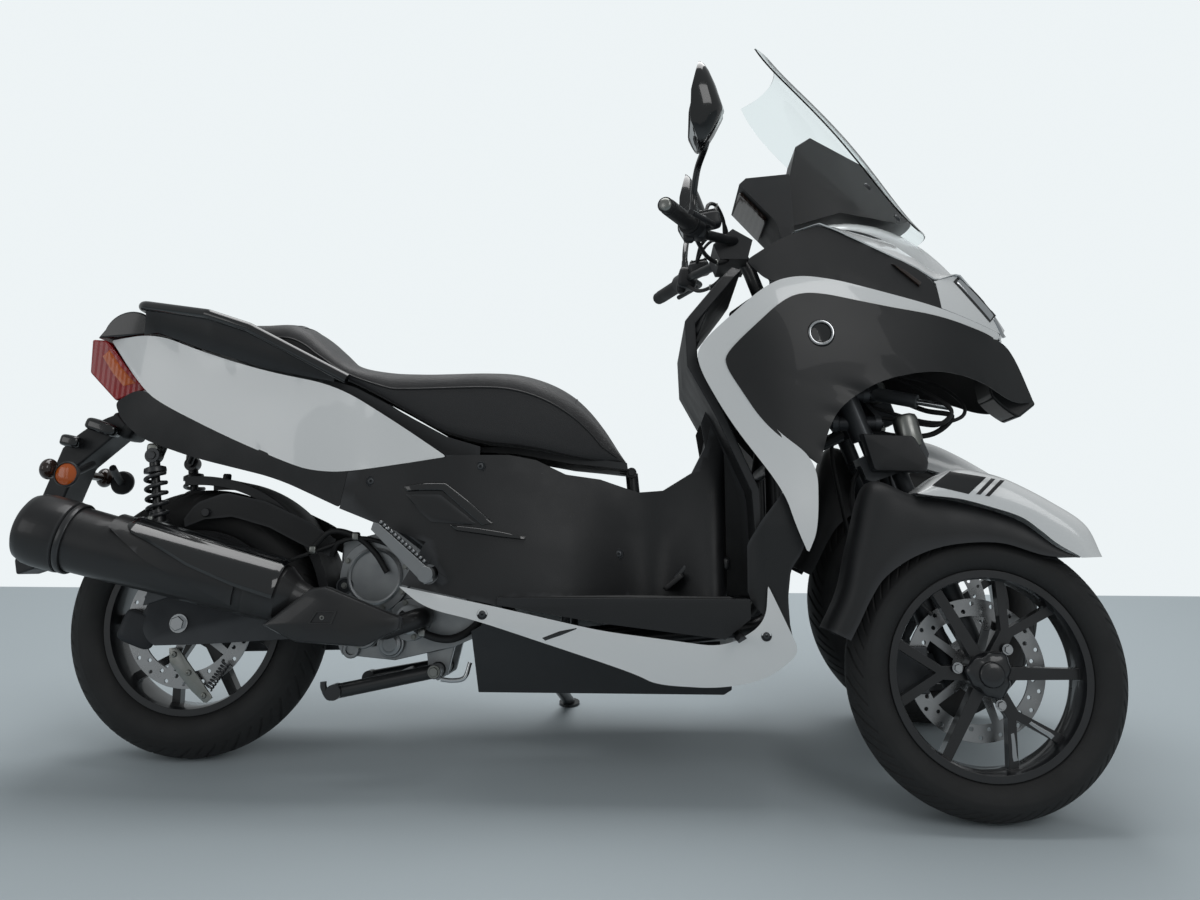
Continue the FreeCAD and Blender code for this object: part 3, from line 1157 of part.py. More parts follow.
def seat():
    """The stepped seat: the cushion for rider and passenger, and the hard pan with the hinge under it."""
    cushion = []
    pan = []
    for number, (x, top, low, less, share) in enumerate(SEAT_STATIONS):
        half = "(seat_half - %s)" % less
        corner = "seat_round * %s" % share
        shift = FORWARD * amount(x)
        if share < 0.5:
            corner = "seat_round * 0.3"
        cushion.append(draw("cushion_section%d" % number, [
            ("-" + half, low), (half, low), (half, "%s - %s" % (top, corner)), ("%s - %s" % (half, corner), top),
            ("-%s + %s" % (half, corner), top), ("-" + half, "%s - %s" % (top, corner))],
            "front", {2: corner, 4: corner}, base=shift))
        pan.append((x, "%s - run_gap" % low))
    foam = loft("cushion_loft", cushion)
    knuckles = []
    for side in (RIGHT, LEFT):
        name = "knuckle_" + SIDE_NAMES[side]
        start = at("wheelbase - 670", side * 20, "hinge_height")
        end = at("wheelbase - 670", side * 40, "hinge_height")
        ear = slab(name + "_ear", [(898, "hinge_height + 2"), (932, "hinge_height - 4"), (930, "hinge_height + 8"),
                                   (900, "hinge_height + 9")], min(start.y, end.y), max(start.y, end.y))
        bored = cut(name, fused(name + "_whole", [bar(name + "_round", start, end, "hinge_pin + 5"), ear]),
                    bar(name + "_bore", start, end, "hinge_pin + run_gap"))
        knuckles.append(bored)
    under = [(x, "%s - seat_pan_wall" % low) for x, low in pan]
    shell = cut("pan_seated", slab("pan_slab", under + pan[::-1], "-pan_share * seat_half", "pan_share * seat_half"), foam)
    keep("seat_pan", fused("seat_pan_whole", [shell] + knuckles))
    keep("seat_cushion", group("cushion", [foam]))


def storage_tub():
    """The open storage tub under the seat."""
    drop = lambda dz: "seat_height - %s" % dz
    outer = draw("tub_outline", [(322, drop(206)), (342, drop(284)), (470, drop(306)), (640, drop(366)),
                                 (780, drop(366)), (800, drop(226)), (676, drop(206)), (560, drop(202))])
    rooms["storage_tub"] = grown("tub_room", outer, -114, 114)
    inner = slab("tub_inner", [(325, drop(166)), (345, drop(281)), (471, drop(303)), (641, drop(363)),
                               (777, drop(363)), (797, drop(166))], -109, 109)
    keep("storage_tub", cut("tub_hollow", extruded("tub_outer", outer, -112, 112), inner))


def rear_fittings():
    """Grab rail, plate carrier, rear indicators and passenger pegs."""
    lift = lambda dz: "pillion_height - %s" % dz
    points = [at(x, side * y, lift(dz)) for side, row in ((-1, 1), (1, -1))
              for x, y, dz in [(330, 180, 140), (112, 181, 30), (20, 176, 0), (-165, 100, -38)][::row]]
    rail = tube("rail_loop", points, "bar_radius", 40)
    posts = [bar("rail_post%d" % number, at(-60, side * 80, lift(22)), at(-60, side * 136, lift(-18)), "stay_radius")
             for number, side in enumerate((RIGHT, LEFT))]
    keep("grab_rail", cut("rail_seated", fused("rail_whole", [rail] + posts), rooms["tail_top"]))
    carrier = draw("carrier_outline", [(-215, 716), (-190, 690), (-290, 600), (-360, 380), (-396, 368), (-404, 398),
                                       (-330, 640)], arcs={6: -260})
    rooms["plate_carrier"] = grown("carrier_room", carrier, -48, 48)
    keep("plate_carrier", extruded("carrier_block", carrier, -45, 45))
    stalks = []
    for side in (RIGHT, LEFT):
        name = "indicator_" + SIDE_NAMES[side]
        stalk = bar(name + "_stalk", at(-310, side * amount("45 + run_gap"), 587), at(-310, side * 112, 587), 9)
        lamp = doc.addObject("Part::Ellipsoid", name + "_lamp")
        lamp.Radius1 = 24
        lamp.Radius2 = 17
        lamp.Radius3 = 22
        lamp.Placement = Placement(at(-310, side * 124, 587), Rotation(FORWARD, 90))
        stalks.append(fused(name, [stalk, lamp]))
    keep("rear_indicators", group("indicator_pair", stalks))
    blade = slab("peg_blade", [(424, 476), (436, 472), (540, 386), (546, 366), (530, 360), (514, 374), (420, 462)],
                 "peg_foot - skirt_half - 24", "peg_foot - skirt_half")
    boss = bar("peg_boss", at(530, "peg_foot - skirt_half - 26", 378), at(530, "peg_foot - skirt_half", 378), 15)
    keep("passenger_pegs", both_sides("peg_pair", fused("peg_whole", [blade, boss])))


# Steering

def steering():
    """Handlebar, cover, grips, levers and mirrors, which turn together."""
    base, up = stem_axis()
    top = at("wheelbase - 430", 0, "bar_height + 20")
    stem = [bar("stem_low", base - up * 108, base + up * 165, "stem_radius"),
            bar("stem_high", base + up * 160, top, "stem_radius")]
    half = amount("bar_half")
    height = amount("bar_height")
    bend_y = half - amount("grip_length") - 75
    end_x = amount("wheelbase - 596")
    bend_x = amount("wheelbase - 516")
    points = [Vector(end_x, -half, height), Vector(bend_x, -bend_y, height + 6), Vector(top.x, -60, top.z),
              Vector(top.x, 60, top.z), Vector(bend_x, bend_y, height + 6), Vector(end_x, half, height)]
    keep("handlebar", fused("handlebar_whole", stem + [tube("handlebar_tube", points, "bar_radius", 40)]))
    grips = []
    housings = []
    mirrors = []
    for side in (RIGHT, LEFT):
        name = SIDE_NAMES[side]
        end = Vector(end_x, side * half, height)
        run = (Vector(bend_x, side * bend_y, height + 6) - end).normalize()
        inner = end + run * amount("grip_length")
        bore = bar("grip_bore_" + name, end - run * 5, inner + run * 70, "bar_radius + 0.05")
        sleeve = cut("grip_sleeve_" + name, bar("grip_" + name, end, inner, "grip_radius"), bore)
        flange = bar("grip_flange_" + name, inner - run * 6, inner, "grip_radius + 5")
        sleeve = cut("grip_whole_" + name, fused("grip_solid_" + name, [sleeve, flange]), bore)
        cap = bar("grip_cap_" + name, end - run * 18, end - run * 0.2, "grip_radius - 1")
        grips += [sleeve, cap]
        block = bar("control_" + name, inner + run * 2, inner + run * 52, "control_radius")
        lever = tube("lever_" + name, [inner + run * 40 + Vector(20, 0, 0), inner + run * 6 + Vector(50, 0, -2),
                                       end + run * 16 + Vector(40, 0, -6)], 6, 20)
        housings.append(cut("control_bored_" + name, fused("control_whole_" + name, [block, lever]), bore))
        foot = inner + run * 30 + UPWARD * amount("control_radius + run_gap")
        head = at("wheelbase - 515", side * amount("mirror_out"), "mirror_height")
        stalk = tube("mirror_stalk_" + name, [foot, foot + UPWARD * 56, head - UPWARD * 62], 7, 30)
        blade = slab("mirror_blade_" + name, [(head.x - 34, head.z + 30), (head.x - 36, head.z - 30),
                                              (head.x - 20, head.z - 66), (head.x + 14, head.z - 62),
                                              (head.x + 36, head.z), (head.x + 4, head.z + 98),
                                              (head.x - 14, head.z + 106)],
                     -WIDE, WIDE, arcs={4: 150})
        face = [(side * y, z) for y, z in ((270, 1236), (318, 1226), (366, 1240), (388, 1320), (376, 1392),
                                           (330, 1412), (286, 1370))]
        if side == LEFT:
            face = face[::-1]
        shape = extruded("mirror_shape_" + name, draw("mirror_face_" + name, face, "front"),
                         head.x - 60, head.x + 60, FORWARD)
        mirrors.append(fused("mirror_" + name, [stalk, common("mirror_shell_" + name, [blade, shape])]))
    keep("grips", group("grip_set", grips))
    keep("hand_controls", group("control_pair", housings))
    keep("mirrors", group("mirror_pair", mirrors))
    shroud = slab("shroud", [(top.x - 58, top.z - 10), (top.x - 44, top.z - 44), (top.x + 18, top.z - 44),
                             (top.x + 30, top.z), (top.x - 14, top.z + 26)], -80, 80)
    channels = [tube("shroud_channel", points, "bar_radius + 0.05", 40),
                bar("shroud_stem", base, base + up * 190, "stem_radius + 0.05"),
                bar("shroud_neck", base + up * 160, top, "stem_radius + 0.05")]
    for number, channel in enumerate(channels):
        shroud = cut("shroud_cut%d" % number, shroud, channel)
    keep("bar_cover", shroud)


def assemble():
    """Build every sub-part of the vehicle: the frame comes after what it carries."""
    for side in (RIGHT, LEFT):
        front_wheel(side)
        front_fork(side)
        front_caliper(side)
        front_fender(side)
    rear_wheel()
    tail_and_covers()
    floor()
    front_fairing()
    leg_shield()
    screen()
    seat()
    storage_tub()
    rear_fittings()
    main_frame(tilt_linkage())
    engine()
    swingarm()
    exhaust()
    shocks()
    rear_mudguard()
    stands()
    steering()


def export():
    """Check every object, then write one file for each sub-part."""
    doc.recompute()
    faults = [item.Label for item in doc.Objects if {"Invalid", "Error"} & set(item.State)]
    faults += [label for label, piece in nodes.items() if piece.Shape.isNull() or not piece.Shape.isValid()]
    if faults:
        raise RuntimeError("failed objects: " + ", ".join(faults))
    os.makedirs("parts", exist_ok=True)
    for label, piece in nodes.items():
        piece.Shape.exportStep("parts/%s.step" % label)


assemble()
export()
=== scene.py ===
"""Looks of a leaning three-wheeled scooter, parked on its side stand.

Each sub-assembly is a class. Its sizes are in millimetres in the vehicle's upright frame, as in the
part's source: +X forward from the rear axle, +Y to the rider's left and +Z up from the ground. Stance
turns such points into the row frame in metres, where every piece has its place in its mesh.
"""

import sys

import json
import logging
import math
from dataclasses import dataclass, field
from enum import Enum
from typing import Iterable, Optional, Sequence

import bmesh
import bpy
import numpy as np
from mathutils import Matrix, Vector
from mathutils.bvhtree import BVHTree

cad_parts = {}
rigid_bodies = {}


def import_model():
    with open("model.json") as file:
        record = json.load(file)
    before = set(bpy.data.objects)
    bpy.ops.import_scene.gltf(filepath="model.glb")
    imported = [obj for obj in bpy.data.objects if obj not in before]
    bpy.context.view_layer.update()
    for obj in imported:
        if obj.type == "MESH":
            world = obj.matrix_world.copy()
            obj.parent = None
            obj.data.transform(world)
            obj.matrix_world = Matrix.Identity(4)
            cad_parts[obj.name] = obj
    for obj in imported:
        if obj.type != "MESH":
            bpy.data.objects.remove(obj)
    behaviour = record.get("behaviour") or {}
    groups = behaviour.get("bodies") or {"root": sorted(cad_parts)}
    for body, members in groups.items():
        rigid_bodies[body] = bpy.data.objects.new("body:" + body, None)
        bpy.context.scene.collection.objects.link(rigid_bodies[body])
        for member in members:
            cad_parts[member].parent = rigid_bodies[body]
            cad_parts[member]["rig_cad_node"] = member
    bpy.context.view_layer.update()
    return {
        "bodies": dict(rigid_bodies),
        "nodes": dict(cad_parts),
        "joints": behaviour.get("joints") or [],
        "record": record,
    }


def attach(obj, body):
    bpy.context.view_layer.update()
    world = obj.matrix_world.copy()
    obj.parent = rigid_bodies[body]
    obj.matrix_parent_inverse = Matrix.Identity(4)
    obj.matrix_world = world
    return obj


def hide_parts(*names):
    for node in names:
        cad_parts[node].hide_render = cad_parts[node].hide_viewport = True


Array = np.ndarray
Points = Sequence[Sequence[float]]
log = logging.getLogger("scooter")


class Side(Enum):
    """The two sides of the vehicle, with the sign of their y values."""

    RIGHT = -1
    LEFT = 1

    @property
    def word(self) -> str:
        """The side's name in node names."""
        return self.name.lower()

    @property
    def front_end(self) -> str:
        """The CAD body that carries this side's fork."""
        return self.word + "_front_end"

    @property
    def wheel(self) -> str:
        """The CAD body of this side's front wheel."""
        return self.word + "_front_wheel"


class Grain(Enum):
    """What breaks up a surface at close range."""

    ORANGE_PEEL = "orange peel"
    MOULDED = "moulded texture"
    LEATHER = "leather grain"
    SAND_CAST = "sand cast"
    BRUSHED = "brushed"
    RUBBER = "rubber"
    RIBBED = "ribbed lens"


@dataclass(frozen=True)
class Stance:
    """How the upright vehicle stands: leaned over its tyres, its front ends moved by the tilt linkage."""

    lean_deg: float = 14.0
    crown: float = 70.0
    arm: float = 155.0
    kingpin: float = 80.0

    def vehicle(self, points: Points) -> Array:
        """Lean points about the tyres' crown line and turn them into metres.

        The formula: y' = y cos + z sin - c sin and z' = -y sin + z cos + c (1 - cos), c the crown radius.

        Args:
            points: rows of x, y, z in millimetres, upright.

        Returns:
            The same rows in the row frame, in metres.
        """
        p = np.asarray(points, float)
        s, c = math.sin(math.radians(self.lean_deg)), math.cos(math.radians(self.lean_deg))
        x, y, z = p[..., 0], p[..., 1], p[..., 2]
        across = y * c + (z - self.crown) * s
        height = self.crown + (z - self.crown) * c - y * s
        return np.stack([x, across, height], -1) / 1000

    def front_end(self, points: Points, side: Side) -> Array:
        """Move points of a wheel's own frame to their place on one front end.

        The arms swing by the lean plus asin(kingpin / arm sin lean), which shifts both ends oppositely.

        Args:
            points: rows of x, y, z in millimetres, the wheel's mid-plane at y = 0 and inboard at +y.
            side: the front end, and for the left the points are mirrored first.

        Returns:
            The points in the row frame, in metres.
        """
        p = np.array(points, float)
        lean = math.radians(self.lean_deg)
        swing = lean + math.asin(self.kingpin / self.arm * math.sin(lean))
        p[..., 1] *= -side.value
        p[..., 1] += side.value * (self.arm * math.cos(swing) + self.kingpin)
        p[..., 2] += side.value * self.arm * math.sin(swing)
        return self.vehicle(p)


STANCE = Stance()
FRONT_AXLE = (1595.0, 0.0, 262.0)
REAR_AXLE = (0.0, 0.0, 276.0)


# Colours and node trees

def linear(code: str, alpha: float = 1.0) -> tuple[float, float, float, float]:
    """Turn an sRGB hex colour into linear light.

    Args:
        code: six hex digits after a hash.
        alpha: the fourth value.

    Returns:
        Red, green, blue and alpha: c / 12.92 below 0.04045, else ((c + 0.055) / 1.055) ** 2.4.
    """
    parts = [int(code[i:i + 2], 16) / 255 for i in (1, 3, 5)]
    red, green, blue = (c / 12.92 if c <= 0.04045 else ((c + 0.055) / 1.055) ** 2.4 for c in parts)
    return red, green, blue, alpha


def add(tree: bpy.types.NodeTree, kind: str, values: Optional[dict] = None, links: Optional[dict] = None,
        **settings: object) -> bpy.types.Node:
    """Add one node with its settings and links.

    Args:
        tree: the node tree.
        kind: the node's type name.
        values: socket values by name or number.
        links: sockets to link from, by the input's name or number.
        settings: attributes of the node.

    Returns:
        The new node.
    """
    node = tree.nodes.new(kind)
    for name, value in settings.items():
        setattr(node, name, value)
    for key, value in (values or {}).items():
        node.inputs[key].default_value = value
    for key, socket in (links or {}).items():
        tree.links.new(socket, node.inputs[key])
    return node


@dataclass(frozen=True)
class Finish:
    """One material of the vehicle, named for what it really is.

    pitch is the grain's real size in millimetres and relief its bump strength. shade is the second colour
    that large soft clouds bring in, cloud their size in millimetres, wear the colour of rubbed edges and slot
    the record's slot for it, which is not used.
    """

    name: str
    colour: str
    shade: str
    grain: Grain
    pitch: float
    relief: float
    roughness: float
    spread: float = 0.05
    metallic: float = 0.0
    coat: float = 0.0
    sheen: float = 0.0
    cloud: float = 120.0
    transmission: float = 0.0
    ior: float = 1.5
    slot: str = ""
    wear: str = ""

    def material(self) -> bpy.types.Material:
        """The material itself, built once and then shared.

        Returns:
            A node material whose patterns read Object coordinates.
        """
        known = bpy.data.materials.get(self.name)
        if known:
            return known
        material = bpy.data.materials.new(self.name)
        material.use_nodes = True
        tree = material.node_tree
        tree.nodes.clear()
        place = add(tree, "ShaderNodeTexCoord").outputs["Object"]
        cloud = add(tree, "ShaderNodeTexNoise", {"Scale": 1000 / self.cloud, "Detail": 3.0},
                    {"Vector": place})
        colour = add(tree, "ShaderNodeMix", {6: linear(self.colour), 7: linear(self.shade)},
                     {0: cloud.outputs["Fac"]}, data_type="RGBA").outputs[2]
        if self.wear:
            bend = add(tree, "ShaderNodeNewGeometry").outputs["Pointiness"]
            edge = add(tree, "ShaderNodeMapRange", {1: 0.53, 2: 0.60, 3: 0.0, 4: 0.55}, {0: bend})
            colour = add(tree, "ShaderNodeMix", {7: linear(self.wear)}, {0: edge.outputs[0], 6: colour},
                         data_type="RGBA").outputs[2]
        rough = add(tree, "ShaderNodeMapRange", {1: 0.3, 2: 0.7, 3: max(self.roughness - self.spread, 0.02),
                                                 4: min(self.roughness + self.spread, 1.0)},
                    {0: cloud.outputs["Fac"]})
        bump = add(tree, "ShaderNodeBump", {"Strength": self.relief, "Distance": self.pitch / 4000},
                   {"Height": self.height(tree, place)})
        shader = add(tree, "ShaderNodeBsdfPrincipled", {
            "Metallic": self.metallic, "Coat Weight": self.coat, "Coat Roughness": 0.04, "IOR": self.ior,
            "Sheen Weight": self.sheen, "Transmission Weight": self.transmission,
        }, {"Base Color": colour, "Roughness": rough.outputs[0], "Normal": bump.outputs[0]})
        add(tree, "ShaderNodeOutputMaterial", None, {"Surface": shader.outputs[0]})
        return material

    def height(self, tree: bpy.types.NodeTree, place: bpy.types.NodeSocket) -> bpy.types.NodeSocket:
        """The height that the bump reads, for this finish's grain.

        Args:
            tree: the material's nodes.
            place: the Object coordinates.

        Returns:
            The socket with the height, from 0 to 1.
        """
        scale = 1000 / self.pitch
        if self.grain is Grain.LEATHER:
            # Leather grain is cells with soft valleys between them, so the distance to the cell edge is used.
            cells = add(tree, "ShaderNodeTexVoronoi", {"Scale": scale, "Randomness": 0.9}, {"Vector": place},
                        feature="DISTANCE_TO_EDGE")
            return add(tree, "ShaderNodeMapRange", {1: 0.0, 2: 0.25},
                       {0: cells.outputs["Distance"]}).outputs[0]
        if self.grain is Grain.BRUSHED:
            # Brushing leaves long fine lines, drawn as noise stretched forty times along X.
            long = add(tree, "ShaderNodeMapping", {"Scale": (1 / 40, 1, 1)}, {"Vector": place})
            return add(tree, "ShaderNodeTexNoise", {"Scale": scale, "Detail": 2.0},
                       {"Vector": long.outputs[0]}).outputs["Fac"]
        if self.grain is Grain.RIBBED:
            return add(tree, "ShaderNodeTexWave", {"Scale": scale / 6.28, "Distortion": 0.0},
                       {"Vector": place}, wave_type="BANDS", bands_direction="X").outputs["Fac"]
        if self.grain is Grain.MOULDED:
            cells = add(tree, "ShaderNodeTexVoronoi", {"Scale": scale}, {"Vector": place},
                        feature="SMOOTH_F1")
            return cells.outputs["Distance"]
        detail = {Grain.ORANGE_PEEL: 0.0, Grain.SAND_CAST: 6.0, Grain.RUBBER: 4.0}[self.grain]
        return add(tree, "ShaderNodeTexNoise", {"Scale": scale, "Detail": detail},
                   {"Vector": place}).outputs["Fac"]


class Finishes:
    """Every finish on the vehicle."""

    # Two-coat acrylic enamel under clear lacquer: a hard gloss with slight orange peel about 3 mm across.
    WHITE = Finish("white_enamel", "#E9EAEA", "#E2E4E5", Grain.ORANGE_PEEL, 3.0, 0.03, 0.22, 0.03, coat=1.0,
                   cloud=400, slot="white_paint")
    # Lacquered ABS: piano black with the same clear coat.
    GLOSS_BLACK = Finish("lacquered_black_abs", "#0B0C0E", "#0F1013", Grain.ORANGE_PEEL, 3.0, 0.03, 0.16,
                         0.04, coat=0.8, cloud=300, slot="gloss_black")
    # Satin lacquer over ABS, for the large dark panels at the front.
    SATIN_BLACK = Finish("satin_lacquered_abs", "#101113", "#141517", Grain.ORANGE_PEEL, 2.4, 0.06, 0.42,
                         0.05, coat=0.12, cloud=260, slot="gloss_black")
    # Self-coloured polypropylene with a moulded texture of about 0.8 mm, drawn at 1.6 mm so that it shows.
    MATTE_BLACK = Finish("textured_polypropylene", "#141517", "#1A1B1D", Grain.MOULDED, 1.6, 0.35, 0.52, 0.08,
                         cloud=90, slot="matte_black", wear="#3C3E41")
    # Powder-coated steel tube: satin black with a fine peel.
    FRAME = Finish("powder_coated_steel", "#17181A", "#202224", Grain.ORANGE_PEEL, 1.8, 0.2, 0.38, 0.08,
                   coat=0.2, cloud=60, slot="frame_paint", wear="#4A4C50")
    # Die-cast aluminium, shot-blasted: a grey metal with a grit of about 0.6 mm, drawn at 1.2 mm.
    CAST = Finish("die_cast_aluminium", "#A7A9AA", "#8C8F92", Grain.SAND_CAST, 1.2, 0.35, 0.42, 0.1,
                  metallic=1.0, cloud=50, slot="cast_aluminium")
    DARK_CAST = Finish("painted_die_casting", "#35373A", "#2A2C2F", Grain.SAND_CAST, 1.2, 0.3, 0.46, 0.1,
                       metallic=0.6, cloud=60, slot="cast_aluminium", wear="#7C7F82")
    # Stove-enamelled alloy wheel: satin black over a smooth casting.
    WHEEL = Finish("stove_enamelled_alloy", "#141517", "#1C1D20", Grain.ORANGE_PEEL, 2.2, 0.1, 0.32, 0.06,
                   coat=0.5, cloud=70, slot="wheel_paint", wear="#303236")
    # Carbon-black tyre rubber with a dry bloom: dull, a fine mould texture of about 1 mm.
    TYRE = Finish("tyre_rubber_compound", "#1B1B1C", "#242424", Grain.RUBBER, 1.5, 0.3, 0.74, 0.08, cloud=60,
                  slot="tyre_rubber")
    # Ground stainless brake steel: fine ground lines, drawn 0.5 mm apart.
    DISC = Finish("ground_stainless_steel", "#B9BABB", "#9FA1A3", Grain.BRUSHED, 0.5, 0.25, 0.3, 0.08,
                  metallic=1.0, cloud=40, slot="disc_steel")
    # Zinc-plated or chromed fasteners.
    CHROME = Finish("bright_plated_steel", "#D2D4D6", "#C4C6C9", Grain.ORANGE_PEEL, 4.0, 0.02, 0.12, 0.04,
                    metallic=1.0, cloud=30)
    ZINC = Finish("zinc_plated_steel", "#9B9C9B", "#84867F", Grain.SAND_CAST, 1.0, 0.15, 0.36, 0.08,
                  metallic=1.0, cloud=20)
    # Vinyl-coated cloth over foam, embossed with a leather grain of about 1.5 mm, drawn at 2.2 mm.
    SEAT = Finish("embossed_vinyl_cover", "#1C1C1E", "#252527", Grain.LEATHER, 2.2, 0.45, 0.5, 0.08,
                  sheen=0.15, cloud=70, slot="seat_cover")
    SEAT_SIDE = Finish("plain_vinyl_cover", "#171719", "#202022", Grain.LEATHER, 1.6, 0.25, 0.42, 0.06,
                       sheen=0.1, cloud=70, slot="seat_cover")
    # Nitrile rubber of grips and hoses.
    RUBBER = Finish("moulded_nitrile_rubber", "#161617", "#1E1E20", Grain.RUBBER, 1.2, 0.25, 0.62, 0.08,
                    cloud=30, slot="grip_rubber")
    CONTROL = Finish("satin_black_nylon", "#1A1B1D", "#222326", Grain.MOULDED, 1.2, 0.2, 0.44, 0.06, cloud=40,
                     slot="control_plastic", wear="#3A3B3E")
    # Heat-resistant paint on the silencer: satin, slightly brown from heat.
    HEAT_PAINT = Finish("heat_resistant_paint", "#26272A", "#2E2D2C", Grain.SAND_CAST, 1.4, 0.2, 0.4, 0.1,
                        metallic=0.35, coat=0.2, cloud=80, wear="#5B5C5E")
    # Acrylic lenses, moulded with fine ribs on the inside.
    LENS_RED = Finish("red_acrylic_lens", "#B3151B", "#8E0D12", Grain.RIBBED, 6.0, 0.3, 0.12, 0.04, coat=0.6,
                      cloud=60, transmission=0.25, ior=1.49, slot="lamp_lens")
    LENS_AMBER = Finish("amber_acrylic_lens", "#E06A10", "#C7560A", Grain.RIBBED, 5.0, 0.3, 0.12, 0.04,
                        coat=0.6, cloud=60, transmission=0.25, ior=1.49, slot="lamp_lens")
    LENS_SMOKE = Finish("smoked_acrylic_lens", "#3A2A22", "#2A201C", Grain.RIBBED, 5.0, 0.25, 0.1, 0.03,
                        coat=0.6, cloud=60, transmission=0.2, ior=1.49, slot="lamp_lens")
    REFLECTOR = Finish("vacuum_metallised_plastic", "#D9DBDD", "#CED1D4", Grain.ORANGE_PEEL, 4.0, 0.05, 0.1,
                       0.03, metallic=1.0, cloud=50)
    # Clear polycarbonate sheet with a hard coat.
    SCREEN = Finish("clear_polycarbonate", "#F4F8F8", "#EEF4F4", Grain.ORANGE_PEEL, 12.0, 0.01, 0.03, 0.01,
                    cloud=500, transmission=1.0, ior=1.2, slot="clear_screen")
    MIRROR = Finish("silvered_glass", "#E4E8EA", "#DADFE2", Grain.ORANGE_PEEL, 8.0, 0.01, 0.03, 0.01,
                    metallic=1.0, cloud=200)
    SILVER = Finish("silver_lacquer", "#B4B7BA", "#A6A9AC", Grain.ORANGE_PEEL, 2.0, 0.06, 0.28, 0.04,
                    metallic=0.85, coat=0.7, cloud=60)
    THREAD = Finish("polyester_thread", "#3A3A3C", "#303033", Grain.RUBBER, 0.8, 0.3, 0.7, 0.05, cloud=20)
    # Rolled rubber flooring with cast grooves, drawn as a coarse moulded texture.
    TREAD_MAT = Finish("ribbed_floor_rubber", "#1A1B1C", "#232425", Grain.RUBBER, 2.0, 0.35, 0.66, 0.06,
                       cloud=60, slot="matte_black")


# Mesh building

def grid_faces(rows: int, columns: int, wrap_rows: bool = False, wrap_columns: bool = False) -> Array:
    """Quads over a grid of vertices numbered row by row.

    Each quad joins (i, j), (i, j+1), (i+1, j+1) and (i+1, j), and the last row or column joins the first
    where it wraps.
    """
    i = np.arange(rows if wrap_rows else rows - 1)[:, None]
    j = np.arange(columns if wrap_columns else columns - 1)[None, :]
    after_i, after_j = (i + 1) % rows, (j + 1) % columns
    corners = [i * columns + j, i * columns + after_j, after_i * columns + after_j, after_i * columns + j]
    return np.stack([np.broadcast_to(c, (i.shape[0], j.shape[1])) for c in corners], -1).reshape(-1, 4)


def mesh_piece(name: str, points: Array, faces: Array, body: str, finish: Finish,
               sharp_deg: float = 40.0) -> bpy.types.Object:
    """A finished piece from row-frame points and faces.

    Args:
        name: the piece's name.
        points: vertices in metres, in the row frame.
        faces: rows of vertex numbers.
        body: the CAD body that it moves with.
        finish: its material.
        sharp_deg: edges that bend more than this stay sharp.

    Returns:
        The object, at the origin, with smooth faces that point outwards.
    """
    mesh = bpy.data.meshes.new(name)
    mesh.from_pydata(points.reshape(-1, 3).tolist(), [], faces.tolist())
    shape = bmesh.new()
    shape.from_mesh(mesh)
    bmesh.ops.remove_doubles(shape, verts=shape.verts, dist=1e-6)
    bmesh.ops.recalc_face_normals(shape, faces=shape.faces)
    shape.to_mesh(mesh)
    shape.free()
    return place(name, mesh, body, finish, sharp_deg)


def place(name: str, mesh: bpy.types.Mesh, body: str, finish: Finish, sharp_deg: float) -> bpy.types.Object:
    """Put a mesh into the scene on its body, dressed in its finish."""
    piece = bpy.data.objects.new(name, mesh)
    bpy.context.scene.collection.objects.link(piece)
    mesh.polygons.foreach_set("use_smooth", np.ones(len(mesh.polygons), bool))
    mesh.set_sharp_from_angle(angle=math.radians(sharp_deg))
    dress(piece, finish)
    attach(piece, body)
    log.info("%s: %d faces", name, len(mesh.polygons))
    return piece


def dress(piece: bpy.types.Object, finish: Finish) -> None:
    """Give a piece or a CAD node one finish."""
    piece.data.materials.clear()
    piece.data.materials.append(finish.material())


def round_edges(piece: bpy.types.Object, width: float, angle_deg: float) -> None:
    """Round the edges that bend by more than an angle, by a width in millimetres."""
    edge = piece.modifiers.new("rounded edges", "BEVEL")
    edge.width = width / 1000
    edge.segments = 2
    edge.limit_method = "ANGLE"
    edge.angle_limit = math.radians(angle_deg)
    edge.harden_normals = True


def joined(parts: Iterable[tuple[Array, Array]]) -> tuple[Array, Array]:
    """Several sets of points and faces as one, their vertex numbers shifted."""
    points: list[Array] = []
    faces: list[Array] = []
    count = 0
    for vertices, quads in parts:
        flat = vertices.reshape(-1, 3)
        points.append(flat)
        faces.append(quads + count)
        count += len(flat)
    return np.concatenate(points), np.concatenate(faces)


def smooth_line(points: Points, steps: int = 8, closed: bool = False) -> Array:
    """A Catmull-Rom line: each span is a cubic whose end slopes are half the neighbours' chord.

    Args:
        points: the points that it passes.
        steps: divisions of each span.
        closed: whether it runs back to its start.

    Returns:
        The line's points.
    """
    p = np.asarray(points, float)
    before = np.roll(p, 1, 0) if closed else np.vstack([2 * p[0] - p[1], p[:-1]])
    after = np.roll(p, -1, 0) if closed else np.vstack([p[1:], 2 * p[-1] - p[-2]])
    slope = (after - before) / 2
    spans = len(p) if closed else len(p) - 1
    t = (np.arange(steps) / steps)[None, :, None]
    a, b = p[:spans, None], np.roll(p, -1, 0)[:spans, None]
    m, n = slope[:spans, None], np.roll(slope, -1, 0)[:spans, None]
    line = (2 * t ** 3 - 3 * t ** 2 + 1) * a + (t ** 3 - 2 * t ** 2 + t) * m \
        + (3 * t ** 2 - 2 * t ** 3) * b + (t ** 3 - t ** 2) * n
    line = line.reshape(-1, p.shape[1])
    return line if closed else np.vstack([line, p[-1]])


